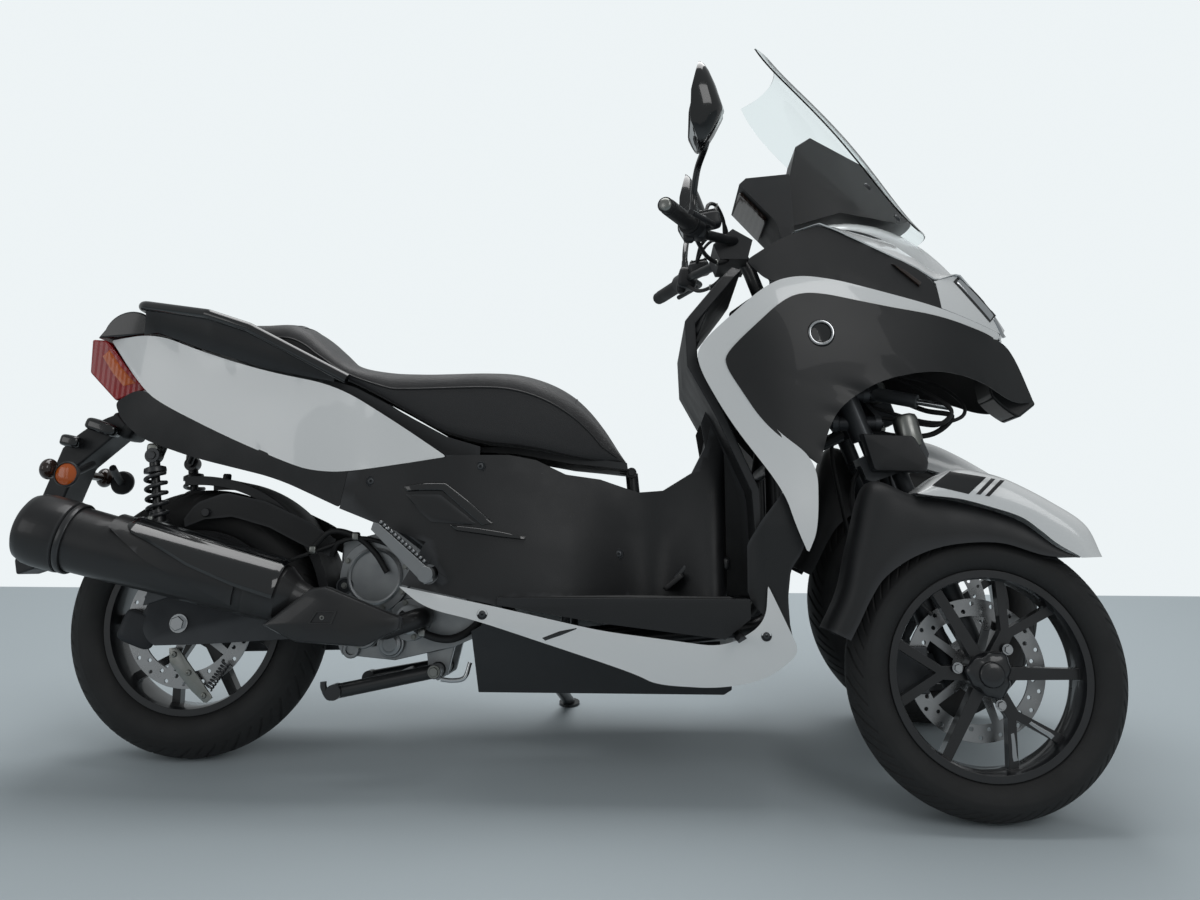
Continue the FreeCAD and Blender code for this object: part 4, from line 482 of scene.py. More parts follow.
def carried(path: Array, radius: float, sides: int = 10,
            hint: Sequence[float] = (0.13, 0.29, 0.95)) -> tuple[Array, Array]:
    """A round profile carried along a path.

    Each ring is centre + radius (normal cos a + binormal sin a), the normal square to the path's direction
    and to a fixed hint. A ring shrunk to nothing closes each end.

    Args:
        path: the centre line.
        radius: the profile's radius.
        sides: points round a ring.
        hint: a direction that the path never takes.

    Returns:
        The vertices and the quads.
    """
    path = np.asarray(path, float)
    size = np.concatenate([[0.0], np.full(len(path), float(radius)), [0.0]])
    path = np.vstack([path[:1], path, path[-1:]])
    run = np.roll(path, -1, 0) - np.roll(path, 1, 0)
    run[:2] = path[2] - path[1]
    run[-2:] = path[-2] - path[-3]
    run /= np.linalg.norm(run, axis=1)[:, None]
    normal = np.cross(run, np.asarray(hint, float))
    normal /= np.linalg.norm(normal, axis=1)[:, None]
    other = np.cross(run, normal)
    angle = np.arange(sides) / sides * 2 * np.pi
    ring = normal[:, None] * np.cos(angle)[None, :, None] + other[:, None] * np.sin(angle)[None, :, None]
    grid = path[:, None] + ring * size[:, None, None]
    return grid, grid_faces(len(path), sides, False, True)


def hose(points: Points, radius: float, steps: int = 10, sides: int = 10) -> tuple[Array, Array]:
    """A hose, cable or bent bar: a round profile along the smooth line through some points."""
    return carried(smooth_line(points, steps), radius, sides)


def turned(profile: Points, centre: Sequence[float], axis: Sequence[float], sides: int = 48,
           closed: bool = False) -> tuple[Array, Array]:
    """A profile turned once round an axis.

    Each profile row is (radius, height along the axis), and its ring is
    centre + axis height + radius (u cos a + v sin a).
    """
    rows = np.asarray(profile, float)
    main = np.asarray(axis, float)
    main = main / np.linalg.norm(main)
    u = np.cross(main, (0.31, 0.87, 0.39))
    u /= np.linalg.norm(u)
    v = np.cross(main, u)
    angle = np.arange(sides) / sides * 2 * np.pi
    ring = u * np.cos(angle)[:, None] + v * np.sin(angle)[:, None]
    grid = np.asarray(centre, float) + main * rows[:, 1, None, None] + ring[None] * rows[:, 0, None, None]
    return grid, grid_faces(len(rows), sides, closed, True)


def vehicle_parts(parts: Iterable[tuple[Array, Array]]) -> tuple[Array, Array]:
    """Parts in the upright frame, joined and leaned into the row frame."""
    points, faces = joined(parts)
    return STANCE.vehicle(points), faces


def screws(spots: Points, axes: Points, radius: float, height: float,
           hexagon: bool = False) -> tuple[Array, Array]:
    """Screw heads at several spots, each a turned button with a socket, or a hexagon on a washer.

    Args:
        spots: where each head sits.
        axes: each head's outward direction.
        radius: the head's radius.
        height: how far it stands up.
        hexagon: whether it has six sides.

    Returns:
        The vertices and the quads of all heads.
    """
    r, h = radius, height
    if hexagon:
        washer = [(0, 0), (r * 1.25, 0), (r * 1.25, h * 0.2), (r * 0.2, h * 0.2)]
        head = [(0, h * 0.1), (r, h * 0.1), (r, h * 0.85), (r * 0.9, h), (0, h)]
        parts = [turned(p, s, a, 6 if p is head else 18) for s, a in zip(spots, axes) for p in (washer, head)]
    else:
        cap = [(0, 0), (r, 0), (r, h * 0.5), (r * 0.82, h * 0.92), (r * 0.5, h), (r * 0.5, h * 0.35),
               (0, h * 0.35)]
        parts = [turned(cap, s, a, 16) for s, a in zip(spots, axes)]
    return joined(parts)


class Body(Enum):
    """The CAD bodies that pieces ride on."""

    FRAME = "frame"
    BAR = "steering_bar"
    SEAT = "seat"
    CENTRE_STAND = "centre_stand"
    REAR_WHEEL = "rear_wheel"


class Shell:
    """A rigid CAD node whose edges are rounded as moulding or casting leaves them."""

    def __init__(self, frame: dict) -> None:
        """Keep the loaded frame and the body of each node."""
        self.nodes = frame["nodes"]
        self.body_of = {node: body for body, members in frame["record"]["behaviour"]["bodies"].items()
                        for node in members}

    def soften(self, node: str, finish: Finish, width: float) -> None:
        """Stand a merged copy for a CAD node, with a small round along its sharp edges.

        Args:
            node: the CAD node.
            finish: its material.
            width: the round's width in millimetres, or nought for none.
        """
        mesh = self.nodes[node].data.copy()
        mesh.name = node + "_skin"
        shape = bmesh.new()
        shape.from_mesh(mesh)
        bmesh.ops.remove_doubles(shape, verts=shape.verts, dist=1e-5)
        bmesh.ops.dissolve_limit(shape, angle_limit=math.radians(0.5), verts=shape.verts, edges=shape.edges,
                                 use_dissolve_boundaries=False)
        shape.to_mesh(mesh)
        shape.free()
        if mesh.has_custom_normals:
            attribute = mesh.attributes.get("custom_normal")
            if attribute:
                mesh.attributes.remove(attribute)
        piece = place(node + "_skin", mesh, self.body_of[node], finish, 32)
        if width:
            round_edges(piece, width, 28)
        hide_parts(node)


@dataclass
class Tyre:
    """A road tyre with slanted grooves across its crown."""

    node: str
    body: str
    radius: float
    width: float
    rim_width: float
    centre: tuple[float, float, float]
    side: Optional[Side] = None
    pitches: int = 30
    crown: float = 70.0
    sidewall: float = 34.0
    rim_radius: float = 178.0
    lip: float = 10.0
    shoulder: float = 0.93
    long_groove: float = 3.6
    short_groove: float = 2.6

    def section(self) -> tuple[Array, Array]:
        """Half the cross-section from the crown's middle to the bead.

        Returns:
            The distances across, and the radii: the crown follows an arc of its radius up to the shoulder's
            share of the half width, and the sidewall an arc between that shoulder and the rim's lip.
        """
        shoulder = self.width / 2 * self.shoulder
        edge = self.radius - self.crown + math.sqrt(self.crown ** 2 - shoulder ** 2)
        foot = (self.rim_width / 2 - 4.5, self.rim_radius + self.lip + 1)
        across = shoulder * np.sin(np.linspace(0, 1, 20) * np.pi / 2)
        crown = np.stack([across, self.radius - self.crown + np.sqrt(self.crown ** 2 - across ** 2)], -1)
        chord = np.array(foot) - np.array([shoulder, edge])
        middle = (np.array(foot) + np.array([shoulder, edge])) / 2
        reach = math.sqrt(self.sidewall ** 2 - (chord @ chord) / 4)
        out = np.array([-chord[1], chord[0]]) / math.hypot(*chord)
        hub = middle - out * reach if out[0] > 0 else middle + out * reach
        first = math.atan2(edge - hub[1], shoulder - hub[0])
        last = math.atan2(foot[1] - hub[1], foot[0] - hub[0])
        turn = np.linspace(first, last, 14)[1:]
        wall = hub + self.sidewall * np.stack([np.cos(turn), np.sin(turn)], -1)
        bead = [[foot[0], self.rim_radius + 1], [foot[0] - 12, self.rim_radius + 0.5]]
        line = np.vstack([crown, wall, bead])
        return line[:, 0], line[:, 1]

    def build(self) -> bpy.types.Object:
        """The tyre as one closed grid of angle by section.

        A column's angle is u + lag(s), where the lag grows with the distance s from the middle, so that the
        columns themselves run along the grooves. The radius drops by the groove's depth between the columns
        that bound a groove. The right half's long grooves lie where the left half's short ones do, and the
        other way round. Raised lines stand on the sidewalls.

        Returns:
            The piece that replaces the node.
        """
        half, radii = self.section()
        y = np.concatenate([-half[::-1], half[1:]])
        r = np.concatenate([radii[::-1], radii[1:]])
        reach = np.abs(y) / (self.width / 2)
        cuts = np.array([0.0, 0.03, 0.06, 0.16, 0.19, 0.22, 0.5, 0.52, 0.56, 0.66, 0.70, 0.73, 0.9])
        pitch = (np.arange(self.pitches)[:, None] + cuts[None]).ravel() / self.pitches * 2 * np.pi
        kind = np.tile(np.arange(len(cuts)), self.pitches)
        first_cut = np.isin(kind, (2, 3))[:, None]
        second_cut = np.isin(kind, (8, 9))[:, None]
        on_crown = (reach < self.shoulder) & (r > self.radius - 26)
        lag = 0.32 * np.minimum(reach, 0.95) ** 1.6 - 0.05 * reach
        right = (y < 0)[None]
        long_band = (reach > 0.12) & (reach < 0.86) & on_crown
        short_band = (reach > 0.45) & (reach < 0.9) & on_crown
        depth = self.long_groove * (np.where(right, first_cut, second_cut) & long_band) \
            + self.short_groove * (np.where(right, second_cut, first_cut) & short_band)
        wall = r < self.radius - 30
        line_a = np.exp(-((r - (self.radius - 40)) / 1.6) ** 2) * wall
        line_b = np.exp(-((r - (self.rim_radius + self.lip + 8)) / 1.8) ** 2) * wall
        angle = pitch[:, None] + lag[None]
        spokes = 0.5 + 0.5 * np.sign(np.sin(angle * 90))
        bulge = 0.9 * line_a[None] + 0.8 * line_b[None] * spokes
        size = r[None] - depth
        grid = np.stack([size * np.cos(angle), y[None] + np.sign(y)[None] * bulge, size * np.sin(angle)], -1)
        grid = grid + np.asarray(self.centre)
        points = STANCE.front_end(grid, self.side) if self.side else STANCE.vehicle(grid)
        piece = mesh_piece(self.node + "_tread", points.reshape(-1, 3), grid_faces(len(pitch), len(y), True),
                           self.body, Finishes.TYRE, 34)
        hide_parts(self.node)
        return piece


@dataclass
class WheelTrim:
    """What is bolted to a wheel: the hub cap, nuts and valve."""

    name: str
    body: str
    centre: tuple[float, float, float]
    face: float
    side: Optional[Side] = None
    nut_angles: tuple[float, ...] = (49.0, 170.0, -72.0)
    nut_circle: float = 58.0
    valve_circle: float = 172.0

    def settle(self, points: Array) -> Array:
        """Place points of the wheel's own frame in the row frame."""
        moved = points + np.asarray(self.centre)
        return STANCE.front_end(moved, self.side) if self.side else STANCE.vehicle(moved)

    def build(self) -> None:
        """The lobed hub cap, three plated nuts and the valve stem."""
        angle = np.arange(60) / 60 * 2 * np.pi
        lobes = 1 + 0.16 * np.cos(3 * (angle - 0.9)) ** 3
        rows = [(40, 0), (41, 4), (38, 9), (30, 12), (24, 13), (23, 18), (20, 20), (9, 21), (0, 21)]
        ring = np.stack([np.cos(angle), np.zeros(60), np.sin(angle)], -1)
        grid = np.stack([ring * r * (lobes[:, None] if r > 25 else 1) + [0, self.face - h, 0]
                         for r, h in rows])
        mesh_piece(self.name + "_hub_cap", self.settle(grid), grid_faces(len(rows), 60, False, True),
                   self.body, Finishes.WHEEL, 50)
        spots = [(self.nut_circle * math.cos(math.radians(a)), self.face + 6,
                  self.nut_circle * math.sin(math.radians(a))) for a in self.nut_angles]
        points, faces = screws(spots, [(0, -1, 0)] * 3, 8, 10, hexagon=True)
        mesh_piece(self.name + "_nuts", self.settle(points), faces, self.body, Finishes.CHROME, 30)
        out = np.array([math.cos(2.3), 0, math.sin(2.3)])
        stem = turned([(0, 0), (5, 0), (5, 12), (3.4, 14), (3.4, 24), (4.4, 25), (4.4, 33), (0, 34)],
                      out * self.valve_circle + [0, self.face + 34, 0], -out + [0, -0.25, 0], 14)
        mesh_piece(self.name + "_valve", self.settle(stem[0].reshape(-1, 3)), stem[1], self.body,
                   Finishes.RUBBER)


@dataclass
class Saddle:
    """The stepped dual seat: foam under a vinyl cover, with a piped seam round its side band.

    Each station is x, top, half width at the widest, the underside's height and the crown of the top.
    """

    stations: Points = field(default_factory=lambda: [
        (34, 862, 84, 858, 2), (44, 904, 108, 850, 8), (80, 913, 130, 838, 10), (130, 913, 146, 824, 12),
        (190, 912, 156, 812, 12), (232, 894, 159, 805, 12), (264, 866, 160, 796, 12),
        (300, 836, 160, 784, 14), (340, 817, 160, 768, 16), (400, 808, 160, 738, 17),
        (470, 806, 161, 700, 16), (540, 806, 162, 664, 14), (620, 808, 160, 644, 14),
        (680, 805, 156, 638, 16), (740, 789, 146, 630, 18), (790, 764, 132, 620, 20),
        (830, 730, 118, 614, 18), (866, 686, 106, 610, 14), (896, 640, 96, 606, 8), (914, 612, 88, 605, 2)])
    top_share: float = 0.62
    band: float = 0.40

    def rows(self, count: int = 110) -> Array:
        """The stations, resampled along the seat by a cubic line through them."""
        line = smooth_line(self.stations, 12)
        pick = np.linspace(0, len(line) - 1, count)
        low = np.floor(pick).astype(int).clip(0, len(line) - 2)
        part = (pick - low)[:, None]
        return line[low] * (1 - part) + line[low + 1] * part

    def surface(self, across: int = 49) -> Array:
        """The cover as a grid of stations by points round the section.

        The section goes from one lower edge over the top to the other: the side leans in a little, a corner
        of up to 36 mm rolls over, and the top is a shallow arch with a groove where it meets the side band.
        """
        rows = self.rows()
        x, top, half, low, crown = (rows[:, i, None] for i in range(5))
        s = np.linspace(-1, 1, across)[None]
        a = np.abs(s)
        side = np.clip((a - self.top_share) / (1 - self.top_share), 0, 1)
        flat = np.clip(a / self.top_share, 0, 1)
        corner = np.clip((top - low) * 0.45, 4, 36)
        turn = np.clip(side / 0.45, 0, 1) * np.pi / 2
        drop = np.clip((side - 0.45) / 0.55, 0, 1)
        y = (half - corner) * flat + corner * np.sin(turn) * (side > 0) - 7 * drop ** 2
        z = top - crown * flat ** 2.4 - corner * (1 - np.cos(turn)) - drop * (top - crown - corner - low)
        groove = np.exp(-((side - self.band) / 0.035) ** 2) * np.clip((top - low - 20) / 60, 0, 1)
        y = y - 2.6 * groove
        z = z - 1.6 * groove
        bolster = np.exp(-((x - 268) / 26) ** 2) * np.exp(-(flat / 0.8) ** 4)
        z = z + 3 * bolster
        dish = np.exp(-((x - 560) / 120) ** 2) * (1 - flat ** 2) * 5
        z = z - dish
        return np.stack([np.broadcast_to(x, y.shape), np.sign(s) * y, z], -1)

    def build(self) -> None:
        """The cover, its piping and its stitched cross seams."""
        grid = self.surface()
        rows, columns = grid.shape[:2]
        base = grid.copy()
        base[:, :, 2] = np.minimum(base[:, :, 2], grid[:, :1, 2]) - 0.5
        under = base[:, ::-1] * [1, 0.9, 1]
        shell = np.concatenate([grid, under], 1)
        shell = np.concatenate([shell[:1] * 0 + shell[:1].mean(1, keepdims=True), shell,
                                shell[-1:] * 0 + shell[-1:].mean(1, keepdims=True)], 0)
        cover = mesh_piece("seat_cover", STANCE.vehicle(shell),
                           grid_faces(rows + 2, columns * 2, False, True), Body.SEAT.value, Finishes.SEAT, 60)
        smooth = cover.modifiers.new("soft", "SUBSURF")
        smooth.levels = smooth.render_levels = 1
        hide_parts("seat_cushion")
        self.seams(grid)

    def seams(self, grid: Array) -> None:
        """Piping along the top of the side bands, and double rows of stitches across the seat."""
        s = np.linspace(-1, 1, grid.shape[1])
        parts = []
        for sign in (-1, 1):
            seam = self.top_share + (1 - self.top_share) * self.band
            column = int(np.argmin(np.abs(s - sign * seam)))
            line = grid[6:-6, column] + [0, sign * 1.0, 1.2]
            parts.append(carried(line, 2.0, 8))
        points, faces = vehicle_parts(parts)
        mesh_piece("seat_piping", points, faces, Body.SEAT.value, Finishes.SEAT_SIDE)
        stitches = []
        for row in (24, 26, 88):
            line = grid[row, 9:-9] + [0, 0, 0.6]
            dense = smooth_line(line, 6)
            for start in range(2, len(dense) - 5, 5):
                stitches.append(carried(dense[start:start + 4], 0.7, 5, hint=(1, 0.1, 0.2)))
        points, faces = vehicle_parts(stitches)
        mesh_piece("seat_stitches", points, faces, Body.SEAT.value, Finishes.THREAD)


@dataclass
class SpringDamper:
    """A rear shock absorber: damper, coil spring, spring seats and rubber-bushed eyes."""

    side: Side
    top: tuple[float, float, float] = (-96, 103, 618)
    foot: tuple[float, float, float] = (-50, 103, 344.7)
    coil_radius: float = 20.0
    wire: float = 4.4
    coils: float = 8.5

    def build(self) -> tuple[Array, Array, Array, Array]:
        """The damper's turned parts and the spring, in the upright frame.

        The spring's centre line is start + axis t + coil radius (u cos 2 pi n t + v sin 2 pi n t).

        Returns:
            The damper's points and faces, and the spring's points and faces.
        """
        top = np.array(self.top) * [1, self.side.value, 1]
        foot = np.array(self.foot) * [1, self.side.value, 1]
        run = foot - top
        length = float(np.linalg.norm(run))
        down = run / length
        rod = [(0, 10), (11, 10), (11, 22), (22, 26), (23, 30), (23, 36), (15, 38), (9, 40),
               (9, length * 0.42), (16, length * 0.42), (16.5, length * 0.45), (16.5, length * 0.8),
               (24, length * 0.8), (24, length * 0.825), (17, length * 0.84), (15, length * 0.9),
               (11, length * 0.95), (0, length - 8)]
        eye = [(8.6, -13), (15.5, -13), (16, -11), (16, 11), (15.5, 13), (8.6, 13)]
        damper = joined([turned(rod, top, down, 32), turned(eye, top, (0, 1, 0), 28, True),
                         turned([(r, h * 0.9) for r, h in eye], foot, (0, 1, 0), 28, True)])
        u = np.cross(down, (0, 1, 0))
        u /= np.linalg.norm(u)
        v = np.cross(down, u)
        t = np.linspace(0, 1, 260)[:, None]
        turn = 2 * np.pi * self.coils * t
        ring = self.coil_radius * (u * np.cos(turn) + v * np.sin(turn))
        line = top + down * (40 + (length * 0.8 - 44) * t) + ring
        spring = carried(line, self.wire, 10, hint=tuple(down))
        return damper[0], damper[1], spring[0].reshape(-1, 3), spring[1]


class RearSuspension:
    """Both shock absorbers."""

    def build(self) -> None:
        """Dampers and springs in satin black, standing for the CAD node."""
        pairs = [SpringDamper(side).build() for side in Side]
        points, faces = vehicle_parts([(p[0], p[1]) for p in pairs])
        damper = mesh_piece("shock_dampers", points, faces, Body.FRAME.value, Finishes.FRAME)
        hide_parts("rear_shocks")
        points, faces = vehicle_parts([(p[2], p[3]) for p in pairs])
        mesh_piece("shock_springs", points, faces, Body.FRAME.value, Finishes.FRAME)


# Pieces laid on the bodywork

class Cover:
    """The outside of CAD nodes as rays across the vehicle meet it, so that trim can lie on it."""

    reach = 600.0
    middle_gap = 4.0

    def __init__(self, frame: dict, nodes: Sequence[str], side: Side = Side.RIGHT,
                 wheel: bool = False) -> None:
        """Gather the nodes' faces.

        Args:
            frame: the loaded frame.
            nodes: the CAD nodes that trim lies on.
            side: the side that the rays come from.
            wheel: whether points are in a front end's own frame, where outboard is always at -y.
        """
        points: list = []
        faces: list = []
        for node in nodes:
            mesh = frame["nodes"][node].data
            faces += [[v + len(points) for v in polygon.vertices] for polygon in mesh.polygons]
            points += [tuple(vertex.co) for vertex in mesh.vertices]
        self.tree = BVHTree.FromPolygons(points, faces)
        self.side = side
        self.wheel = wheel
        self.out = -1 if wheel else side.value

    def settle(self, points: Array) -> Array:
        """Points of the cover's frame in the row frame."""
        return STANCE.front_end(points, self.side) if self.wheel else STANCE.vehicle(points)

    def lay(self, spots: Array, lift: float = 0.0) -> Array:
        """Drop flat points onto the nodes.

        Each point slides inwards to the first face that it meets, less the lift. One that misses, or would
        meet the other side of the vehicle, takes the depth of the nearest that doesn't.

        Args:
            spots: rows of x and z, in millimetres.
            lift: how far they stay off the face.

        Returns:
            The points in the cover's own frame, in millimetres.
        """
        flat = np.asarray(spots, float).reshape(-1, 2)
        start = np.insert(flat, 1, self.out * self.reach, axis=1)
        ahead = np.insert(flat, 1, self.out * (self.reach - 1), axis=1)
        first, second = self.settle(start), self.settle(ahead)
        deep = np.full(len(flat), np.nan)
        for number, (a, b) in enumerate(zip(first, second)):
            hit = self.tree.ray_cast(Vector(a), Vector(b - a))
            if hit[0] is not None and hit[3] * 1000 < self.reach - self.middle_gap:
                deep[number] = hit[3] * 1000
        missed = np.isnan(deep)
        if missed.all():
            log.warning("no point of a plate meets its node")
            deep[:] = 0
        elif missed.any():
            near = np.argmin(((flat[missed][:, None] - flat[~missed][None]) ** 2).sum(-1), axis=1)
            deep[missed] = deep[~missed][near]
        start[:, 1] -= self.out * (deep - lift)
        return start

    def plate(self, upper: Points, lower: Points, lift: float = 1.5, rows: int = 28,
              columns: int = 8) -> tuple[Array, Array]:
        """A thin plate between two lines drawn in the flat view, laid on the nodes.

        Its points run straight from the upper line to the lower at equal shares of each, and its rim tapers.

        Args:
            upper: one edge's points.
            lower: the other edge's points.
            lift: the plate's height.
            rows: points along.
            columns: points across.

        Returns:
            The vertices in the row frame, in metres, and the quads.
        """
        flat = ruled(spaced(upper, rows), spaced(lower, rows), columns)
        face = self.lay(flat).reshape(rows, columns, 3)
        out = np.array([0.0, self.out, 0.0])
        rim = np.minimum.outer(edge_share(rows), edge_share(columns))[:, :, None]
        points, faces = folded(face + out * lift * (0.45 + 0.55 * rim), face - out)
        return self.settle(points), faces


def spaced(points: Points, count: int) -> Array:
    """Points at equal steps along a broken line."""
    p = np.asarray(points, float)
    run = np.concatenate([[0], np.cumsum(np.linalg.norm(np.diff(p, axis=0), axis=1))])
    want = np.linspace(0, run[-1], count)
    return np.stack([np.interp(want, run, p[:, k]) for k in range(p.shape[1])], -1)


def ringed(points: Points, count: int) -> Array:
    """A closed outline's points at equal steps, from its corners."""
    return spaced([*points, points[0]], count + 1)[:-1]


def ruled(first: Array, second: Array, columns: int) -> Array:
    """A grid whose rows run straight from one line's points to the other's, at equal shares."""
    share = np.linspace(0, 1, columns)[None, :, None]
    return first[:, None] * (1 - share) + second[:, None] * share


def layered(line: Array, levels: Points, middle: Optional[Sequence[float]] = None) -> tuple[Array, Array]:
    """A form of loops: an outline in side view, scaled about its middle at each level's y.

    Args:
        line: the outline's points, x and z.
        levels: rows of scale and y.
        middle: the point that the loops shrink to, otherwise the outline's mean.

    Returns:
        The vertices and the quads.
    """
    centre = line.mean(0) if middle is None else np.asarray(middle, float)
    loops = [np.insert(centre + (line - centre) * scale, 1, y, axis=1) for scale, y in levels]
    return np.stack(loops), grid_faces(len(levels), len(line), False, True)


def edge_share(count: int) -> Array:
    """Nought at both ends of a row and one from its second point on."""
    share = np.ones(count)
    share[0] = share[-1] = 0
    return share


def folded(top: Array, bottom: Array) -> tuple[Array, Array]:
    """A closed sheet from two grids that face apart: each row runs out on one and back on the other."""
    rows, columns = top.shape[:2]
    ring = np.concatenate([top, bottom[:, ::-1]], 1)
    middle = (top + bottom) / 2
    ends = np.concatenate([middle, middle[:, ::-1]], 1)
    shape = np.concatenate([ends[:1], ring, ends[-1:]], 0)
    return shape.reshape(-1, 3), grid_faces(rows + 2, columns * 2, False, True)


def pillow(centre: Sequence[float], half: Sequence[float], power: float = 0.35, pitch_deg: float = 0.0,
           sides: int = 28) -> tuple[Array, Array]:
    """A box with rounded edges, as a superellipsoid.

    Each point is centre + half (c(v) c(u), c(v) s(u), s(v)), with c and s the cosine and sine raised to the
    power with their sign kept, then turned about Y by the pitch.
    """
    def soft(value: Array) -> Array:
        return np.sign(value) * np.abs(value) ** power

    u = (np.arange(sides) + 0.5) / sides * 2 * np.pi
    v = np.linspace(-np.pi / 2, np.pi / 2, sides // 2 + 1)[:, None]
    grid = np.stack([soft(np.cos(v)) * soft(np.cos(u)), soft(np.cos(v)) * soft(np.sin(u)),
                     soft(np.sin(v)) * np.ones_like(u)], -1) * np.asarray(half, float)
    c, s = math.cos(math.radians(pitch_deg)), math.sin(math.radians(pitch_deg))
    x, y, z = grid[..., 0], grid[..., 1], grid[..., 2]
    turned_grid = np.stack([x * c + z * s, y, z * c - x * s], -1)
    return turned_grid + np.asarray(centre, float), grid_faces(sides // 2 + 1, sides, False, True)


def coil(start: Sequence[float], end: Sequence[float], radius: float, wire: float,
         turns: int) -> tuple[Array, Array]:
    """A tension spring: a wire wound at a radius about the line from start to end."""
    first, last = np.asarray(start, float), np.asarray(end, float)
    run = last - first
    u = np.cross(run, (0.2, 1.0, 0.1))
    u /= np.linalg.norm(u)
    v = np.cross(run / np.linalg.norm(run), u)
    t = np.linspace(0, 1, turns * 14)[:, None]
    turn = 2 * np.pi * turns * t
    return carried(first + run * t + radius * (u * np.cos(turn) + v * np.sin(turn)), wire, 6, hint=tuple(run))


def mirrored(parts: Iterable[tuple[Array, Array]]) -> list[tuple[Array, Array]]:
    """Parts of the right side together with their images on the left."""
    kept = list(parts)
    return kept + [(points * [1, -1, 1], faces) for points, faces in kept]


def fix(name: str, finish: Finish, parts: Iterable[tuple[Array, Array]], body: Body = Body.FRAME,
        both: bool = False, sharp_deg: float = 40.0) -> bpy.types.Object:
    """Join parts of the upright frame into one piece on a body, on both sides of the vehicle where asked."""
    kept = mirrored(parts) if both else list(parts)
    points, faces = vehicle_parts(kept)
    return mesh_piece(name, points, faces, body.value, finish, sharp_deg)


def rounded(corners: Points, radius: float, steps: int = 9) -> Array:
    """A closed outline whose corners are cut by curves.

    At each corner p the curve (1 - t)^2 a + 2 t (1 - t) p + t^2 b runs between the points a and b that lie
    the radius, or 0.47 of the way to the neighbour where that is less, before and after it. A corner that
    turns by more than 40 degrees is cut less, down to a ninth at 104 degrees, so that tips stay.
    """
    p = np.asarray(corners, float)
    before, after = np.roll(p, 1, 0) - p, np.roll(p, -1, 0) - p
    back, ahead = np.linalg.norm(before, axis=1)[:, None], np.linalg.norm(after, axis=1)[:, None]
    turn = np.degrees(np.arccos(np.clip(-(before * after).sum(1)[:, None] / back / ahead, -1, 1)))
    reach = radius * np.clip((112 - turn) / 72, 0.11, 1)
    a = p + before / back * np.minimum(reach, 0.47 * back)
    b = p + after / ahead * np.minimum(reach, 0.47 * ahead)
    t = np.linspace(0, 1, steps)[None, :, None]
    return ((1 - t) ** 2 * a[:, None] + 2 * t * (1 - t) * p[:, None] + t ** 2 * b[:, None]).reshape(-1, 2)


def halves(outline: Array, first: Sequence[float], last: Sequence[float], count: int) -> tuple[Array, Array]:
    """Split a closed outline at the points nearest to two given ones, and space both halves out alike."""
    start = int(np.argmin(((outline - np.asarray(first)) ** 2).sum(1)))
    line = np.roll(outline, -start, 0)
    stop = int(np.argmin(((line - np.asarray(last)) ** 2).sum(1)))
    return spaced(line[:stop + 1], count), spaced(np.vstack([line[stop:], line[:1]])[::-1], count)


@dataclass
class Panel:
    """A moulded side panel, redrawn on its CAD skin with a flowing outline in place of straight runs.

    Its outline is in side view, and its two long edges meet at first and last.
    """

    node: str
    finish: Finish
    outline: Points
    first: tuple[float, float]
    last: tuple[float, float]
    radius: float = 60.0
    wall: float = 3.2
    lift: float = 0.3
    passes: int = 6
    rows: int = 170
    columns: int = 16

    def build(self, frame: dict) -> None:
        """Lay the panel on the skin, even out the facets of the solid and fold it into a wall."""
        upper, lower = halves(rounded(self.outline, self.radius), self.first, self.last, self.rows)
        flat = ruled(upper, lower, self.columns)
        face = Cover(frame, [self.node]).lay(flat, self.lift).reshape(self.rows, self.columns, 3)
        for _ in range(self.passes):
            y = face[..., 1]
            y[1:-1] = (y[:-2] + 2 * y[1:-1] + y[2:]) / 4
            y[:, 1:-1] = (y[:, :-2] + 2 * y[:, 1:-1] + y[:, 2:]) / 4
        piece = fix(self.node + "_skin", self.finish, [folded(face, face + [0, self.wall, 0])], both=True,
                    sharp_deg=42)
        round_edges(piece, 1.1, 50)
        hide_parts(self.node)


